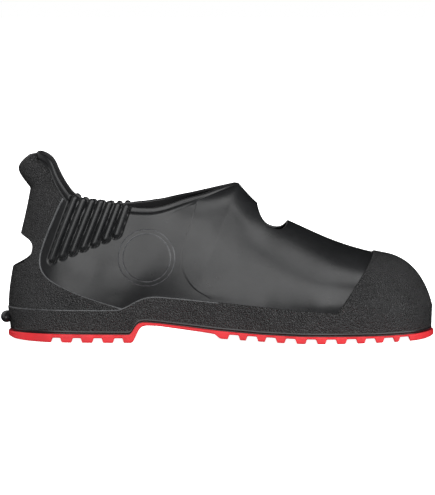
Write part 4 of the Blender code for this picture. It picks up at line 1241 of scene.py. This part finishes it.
EFFECTS = {"Moulding mottle": moulding_mottle, "Pebble grain": pebble_grain}
FINISHES = {
    "satin_wall": satin_wall,
    "bright_edge": bright_edge,
    "pebbled_wall": pebbled_wall,
    "inner_face": inner_face,
    "red_tread": red_tread,
}


def length_setting(name, description, default):
    """A size that a user may change, in metres."""
    return bpy.props.FloatProperty(
        name=name,
        description=description,
        default=default,
        min=0.0,
        precision=4,
        subtype="DISTANCE",
        unit="LENGTH",
    )


def colour_setting(name, description, default):
    """A colour that a user may change."""
    return bpy.props.FloatVectorProperty(
        name=name, description=description, default=default, size=3, min=0.0, max=1.0, subtype="COLOR"
    )


def share_setting(name, description, default):
    """A share from 0 to 1 that a user may change."""
    return bpy.props.FloatProperty(
        name=name, description=description, default=default, min=0.0, max=1.0, subtype="FACTOR"
    )


def strength_setting(name, description, default):
    """A light's strength that a user may change."""
    return bpy.props.FloatProperty(name=name, description=description, default=default, min=0.0)


class OvershoeSizes(bpy.types.PropertyGroup):
    """Sizes of the overshoe's relief and walls."""

    upper_wall: length_setting("Upper wall", "Thickness of the upper's wall", 0.0024)
    rib_count: bpy.props.IntProperty(
        name="Ribs", description="Ribs below the collar", default=7, min=2, max=12
    )
    rib_proud: length_setting("Rib height", "Height of the ribs above the wall", 0.0028)
    bead_proud: length_setting("Bead height", "Height of the bead below the rim", 0.0009)
    fold_depth: length_setting("Fold depth", "Depth of a fold of height one", 0.001)
    cap_proud: length_setting("Toe cap height", "Height of the toe cap above the upper", 0.0013)
    counter_proud: length_setting("Counter height", "Height of the heel counter above the upper", 0.0009)
    boss_proud: share_setting("Boss height", "Height of the boss as a share of its full section", 1.0)
    groove_depth: length_setting("Groove depth", "Depth of the tread grooves", 0.0035)
    edge_round: length_setting("Edge rounding", "Radius of the edges of the slot and the hole", 0.0009)


class OvershoeFinishes(bpy.types.PropertyGroup):
    """Colours and gloss of the overshoe's finishes."""

    smooth_colour: colour_setting("Smooth black", "Colour of the smooth wall", (0.008, 0.0083, 0.0088))
    smooth_roughness: share_setting("Smooth roughness", "Roughness of the smooth wall", 0.31)
    # A lighter black than the wall, which paints a highlight along the edges rather than a colour of the
    # moulding
    edge_highlight_colour: colour_setting("Edge black", "Colour of the polished edges", (0.04, 0.041, 0.043))
    grain_colour: colour_setting("Grained black", "Colour of the grained walls", (0.0125, 0.0125, 0.0129))
    grain_roughness: share_setting("Grain roughness", "Roughness of the grained walls", 0.36)
    grain_size: length_setting("Grain size", "Size of a pebble of the grain", 0.0009)
    grain_depth: length_setting("Grain depth", "Depth of the grain", 0.0012)
    inside_colour: colour_setting("Inside black", "Colour of the inner face", (0.007, 0.007, 0.0075))
    inside_roughness: share_setting("Inside roughness", "Roughness of the inner face", 0.65)
    tread_colour: colour_setting("Tread red", "Colour of the outsole", (0.405, 0.0096, 0.0146))
    tread_roughness: share_setting("Tread roughness", "Roughness of the outsole", 0.45)


class OvershoeStudio(bpy.types.PropertyGroup):
    """Camera, floor and lights."""

    camera_distance: length_setting("Camera distance", "Distance from the camera to the overshoe", 3.3)
    camera_rise: bpy.props.FloatProperty(
        name="Camera rise",
        description="Angle of the view below level",
        default=math.radians(4.5),
        subtype="ANGLE",
    )
    aim_height: length_setting("Aim height", "Height of the point in the middle of the picture", 0.0677)
    picture_width: length_setting("Picture width", "Width of the picture at the overshoe", 0.32625)
    floor_colour: colour_setting("Floor", "Colour of the floor", (1.0, 1.0, 1.0))
    floor_glow: strength_setting("Floor glow", "How far the floor shows brighter than it is lit", 1.0)
    heel_light: strength_setting("Heel light", "Watts of the softbox in front on the heel side", 24.0)
    toe_light: strength_setting("Toe light", "Watts of the softbox in front on the toe side", 24.0)
    middle_light: strength_setting("Middle light", "Watts of the small softbox above the middle", 1.2)
    high_light: strength_setting("High light", "Watts of the softbox high on the toe side", 12.5)
    fill_light: strength_setting("Fill light", "Watts of the softbox beside the toe", 28.0)
    side_light: strength_setting("Side light", "Watts of the softbox beside the heel", 6.0)
    back_light: strength_setting("Back light", "Watts of the weak softbox behind the heel", 3.0)
    surround: strength_setting("Surround", "Strength of the soft light from all round", 1.0)


def floor_grid():
    """Floor: a level square of points on the ground."""
    half = STUDIO_FLOOR["half_size"]
    ticks = np.linspace(-half, half, STUDIO_FLOOR["points"])
    x, y = np.meshgrid(ticks, ticks, indexing="ij")
    return np.stack([x, y, np.full_like(x, STUDIO_FLOOR["z"])], -1)


def glow_to_camera(material, strength):
    """Glow that only the camera sees: the light path's camera share times a strength."""
    tree, shader = material.node_tree, shader_of(material)
    path = tree.nodes.new("ShaderNodeLightPath")
    shader.inputs["Emission Color"].default_value = (1, 1, 1, 1)
    seen = math_node(tree, "MULTIPLY", path.outputs["Is Camera Ray"], strength)
    tree.links.new(seen, shader.inputs["Emission Strength"])


def add_softbox(name, turn, rise, size, power):
    """Rectangular light that faces the overshoe, at a turn from the camera's side towards the toe and a rise
    above the floor, in degrees."""
    turn, rise = math.radians(turn), math.radians(rise)
    away = Vector((math.cos(rise) * math.sin(turn), -math.cos(rise) * math.cos(turn), math.sin(rise)))
    light = bpy.data.lights.new(name, "AREA")
    light.shape = "RECTANGLE"
    light.size, light.size_y = size
    light.energy = power
    obj = bpy.data.objects.new(name, light)
    obj.location = away * SOFTBOX_DISTANCE
    obj.rotation_euler = away.to_track_quat("Z", "Y").to_euler()
    obj.visible_camera = False
    bpy.context.scene.collection.objects.link(obj)


class OVERSHOE_OT_stage(bpy.types.Operator):
    """Makes the camera, the pale floor and the soft studio light"""

    bl_idname = "overshoe.stage"
    bl_label = "Stage"

    def execute(self, context):
        scene, studio = context.scene, context.scene.overshoe_studio
        camera = bpy.data.cameras.new("camera")
        camera.sensor_fit = "HORIZONTAL"
        camera.angle = 2 * math.atan(studio.picture_width / 2 / studio.camera_distance)
        camera.clip_end = 100.0
        eye = bpy.data.objects.new("camera", camera)
        rise = studio.camera_rise
        away = Vector((0, -math.cos(rise), math.sin(rise))) * studio.camera_distance
        eye.location = Vector((0, 0, studio.aim_height)) + away
        eye.rotation_euler = (math.pi / 2 - rise, 0, 0)
        scene.collection.objects.link(eye)
        scene.camera = eye

        mesh = bpy.data.meshes.new("floor")
        grid = floor_grid() * MM
        cells = grid_faces(np.arange(grid[..., 0].size).reshape(grid.shape[:2]))
        mesh.from_pydata(grid.reshape(-1, 3).tolist(), [], cells.tolist())
        pale = new_material("floor_pale", tuple(studio.floor_colour), 1.0)
        shader_of(pale).inputs["Specular IOR Level"].default_value = 0.0
        glow_to_camera(pale, studio.floor_glow)
        mesh.materials.append(pale)
        floor = bpy.data.objects.new("floor", mesh)
        scene.collection.objects.link(floor)
        # The softboxes reach below the floor's level, and show in the low walls as from a raised table.
        floor.visible_glossy = False
        floor.visible_shadow = False

        for place, (turn, rise, size) in SOFTBOXES.items():
            add_softbox(place + "_softbox", turn, rise, size, getattr(studio, place + "_light"))

        # The light from all round reaches the camera and dull faces, but makes no reflection.
        world = bpy.data.worlds.new("studio")
        scene.world = world
        world.use_nodes = True
        background = world.node_tree.nodes["Background"]
        background.inputs["Color"].default_value = (1, 1, 1, 1)
        background.inputs["Strength"].default_value = studio.surround
        world.cycles_visibility.glossy = False
        scene.view_settings.view_transform = "Standard"
        return {"FINISHED"}


class OVERSHOE_OT_upper(bpy.types.Operator):
    """Makes the upper's skin with its ribs, bead, slot and hole"""

    bl_idname = "overshoe.upper"
    bl_label = "Upper"

    def execute(self, context):
        sizes = context.scene.overshoe_sizes
        mesh = closed_mesh("upper_skin", upper_grids(sizes), (0, 0, 0, 1))
        finishes = ["satin_wall", "inner_face"]
        piece = add_piece("upper_skin", mesh, finishes, ["upper"])
        wall, radius = sizes.upper_wall / MM, sizes.edge_round / MM
        cut_opening(piece, heel_slot_cutter(sizes.counter_proud / MM, wall, radius))
        cut_opening(piece, instep_hole_cutter(wall, radius))
        shade(piece.data, 50)
        return {"FINISHED"}


class OVERSHOE_OT_toe_cap(bpy.types.Operator):
    """Makes the grained toe cap"""

    bl_idname = "overshoe.toe_cap"
    bl_label = "Toe cap"

    def execute(self, context):
        mesh = closed_mesh("toe_cap_skin", toe_cap_grids(context.scene.overshoe_sizes))
        shade(mesh, 60)
        add_piece("toe_cap_skin", mesh, ["pebbled_wall"], ["toe_cap"])
        return {"FINISHED"}


class OVERSHOE_OT_heel_counter(bpy.types.Operator):
    """Makes the grained heel counter with the pull grip"""

    bl_idname = "overshoe.heel_counter"
    bl_label = "Heel counter and grip"

    def execute(self, context):
        sizes = context.scene.overshoe_sizes
        # The bands along the front edges take the second finish, a lighter black that paints a highlight on
        # them.
        mesh = closed_mesh("heel_counter_skin", counter_grids(sizes), (1, 0, 1, 0, 0))
        finishes, nodes = ["pebbled_wall", "bright_edge"], ["heel_counter", "pull_grip"]
        piece = add_piece("heel_counter_skin", mesh, finishes, nodes)
        wall, radius = sizes.upper_wall / MM, sizes.edge_round / MM
        cut_opening(piece, heel_slot_cutter(sizes.counter_proud / MM, wall, radius))
        shade(piece.data, 60)
        return {"FINISHED"}


class OVERSHOE_OT_bosses(bpy.types.Operator):
    """Makes the round boss on each side"""

    bl_idname = "overshoe.bosses"
    bl_label = "Bosses"

    def execute(self, context):
        sizes = context.scene.overshoe_sizes
        for node, side in (("boss_lateral", LATERAL), ("boss_medial", MEDIAL)):
            # The step rings take the second finish, a lighter black that paints a highlight on them.
            mesh = closed_mesh(node + "_skin", boss_grids(side, sizes.boss_proud), (0, 1, 0, 1, 0, 0))
            shade(mesh, 60)
            add_piece(node + "_skin", mesh, ["satin_wall", "bright_edge"], [node])
        return {"FINISHED"}


class OVERSHOE_OT_sidewall(bpy.types.Operator):
    """Makes the grained sidewall with the floor"""

    bl_idname = "overshoe.sidewall"
    bl_label = "Sidewall"

    def execute(self, context):
        groups = sidewall_grids(context.scene.overshoe_sizes)
        grids = [grid for group in groups for grid in group]
        numbers = [i for i, group in enumerate(groups) for _ in group]
        mesh = closed_mesh("sidewall_skin", grids, numbers)
        shade(mesh, 50)
        # The fourth finish is a lighter black that paints a highlight line on the top edge towards the heel.
        finishes = ["pebbled_wall", "satin_wall", "inner_face", "bright_edge"]
        add_piece("sidewall_skin", mesh, finishes, ["sidewall"])
        return {"FINISHED"}


class OVERSHOE_OT_outsole(bpy.types.Operator):
    """Makes the lugged outsole"""

    bl_idname = "overshoe.outsole"
    bl_label = "Outsole"

    def execute(self, context):
        mesh = closed_mesh("outsole_skin", outsole_grids(context.scene.overshoe_sizes))
        shade(mesh, 50)
        add_piece("outsole_skin", mesh, ["red_tread"], ["outsole"])
        return {"FINISHED"}


class OVERSHOE_OT_kick_lug(bpy.types.Operator):
    """Makes the kick-off lug at the heel"""

    bl_idname = "overshoe.kick_lug"
    bl_label = "Kick-off lug"

    def execute(self, context):
        mesh = closed_mesh("kick_lug_skin", kick_lug_grids())
        shade(mesh, 60)
        add_piece("kick_lug_skin", mesh, ["satin_wall"], ["kick_off_lug"])
        return {"FINISHED"}


OPERATORS = (
    OVERSHOE_OT_stage,
    OVERSHOE_OT_upper,
    OVERSHOE_OT_toe_cap,
    OVERSHOE_OT_heel_counter,
    OVERSHOE_OT_bosses,
    OVERSHOE_OT_sidewall,
    OVERSHOE_OT_outsole,
    OVERSHOE_OT_kick_lug,
)
SETTINGS = {
    "overshoe_sizes": OvershoeSizes,
    "overshoe_finishes": OvershoeFinishes,
    "overshoe_studio": OvershoeStudio,
}


class OVERSHOE_PT_panel(bpy.types.Panel):
    """Lists the overshoe's pieces and settings"""

    bl_idname = "OVERSHOE_PT_panel"
    bl_label = "Moulded overshoe"
    bl_space_type = "VIEW_3D"
    bl_region_type = "UI"
    bl_category = "Overshoe"

    def draw(self, context):
        for settings in SETTINGS:
            group = getattr(context.scene, settings)
            box = self.layout.box()
            for name in group.__annotations__:
                box.prop(group, name)
        for operator in OPERATORS:
            self.layout.operator(operator.bl_idname)


def register():
    """Makes the classes and the scene's settings known to Blender."""
    for cls in (*SETTINGS.values(), *OPERATORS, OVERSHOE_PT_panel):
        bpy.utils.register_class(cls)
    for name, cls in SETTINGS.items():
        setattr(bpy.types.Scene, name, bpy.props.PointerProperty(type=cls))


def unregister():
    """Takes back what register did."""
    for name in SETTINGS:
        delattr(bpy.types.Scene, name)
    for cls in (OVERSHOE_PT_panel, *reversed(OPERATORS), *reversed(SETTINGS.values())):
        bpy.utils.unregister_class(cls)


def main():
    """Runs the operators in order."""
    register()
    for operator in OPERATORS:
        group, name = operator.bl_idname.split(".")
        getattr(getattr(bpy.ops, group), name)()


if __name__ == "__main__":
    main()
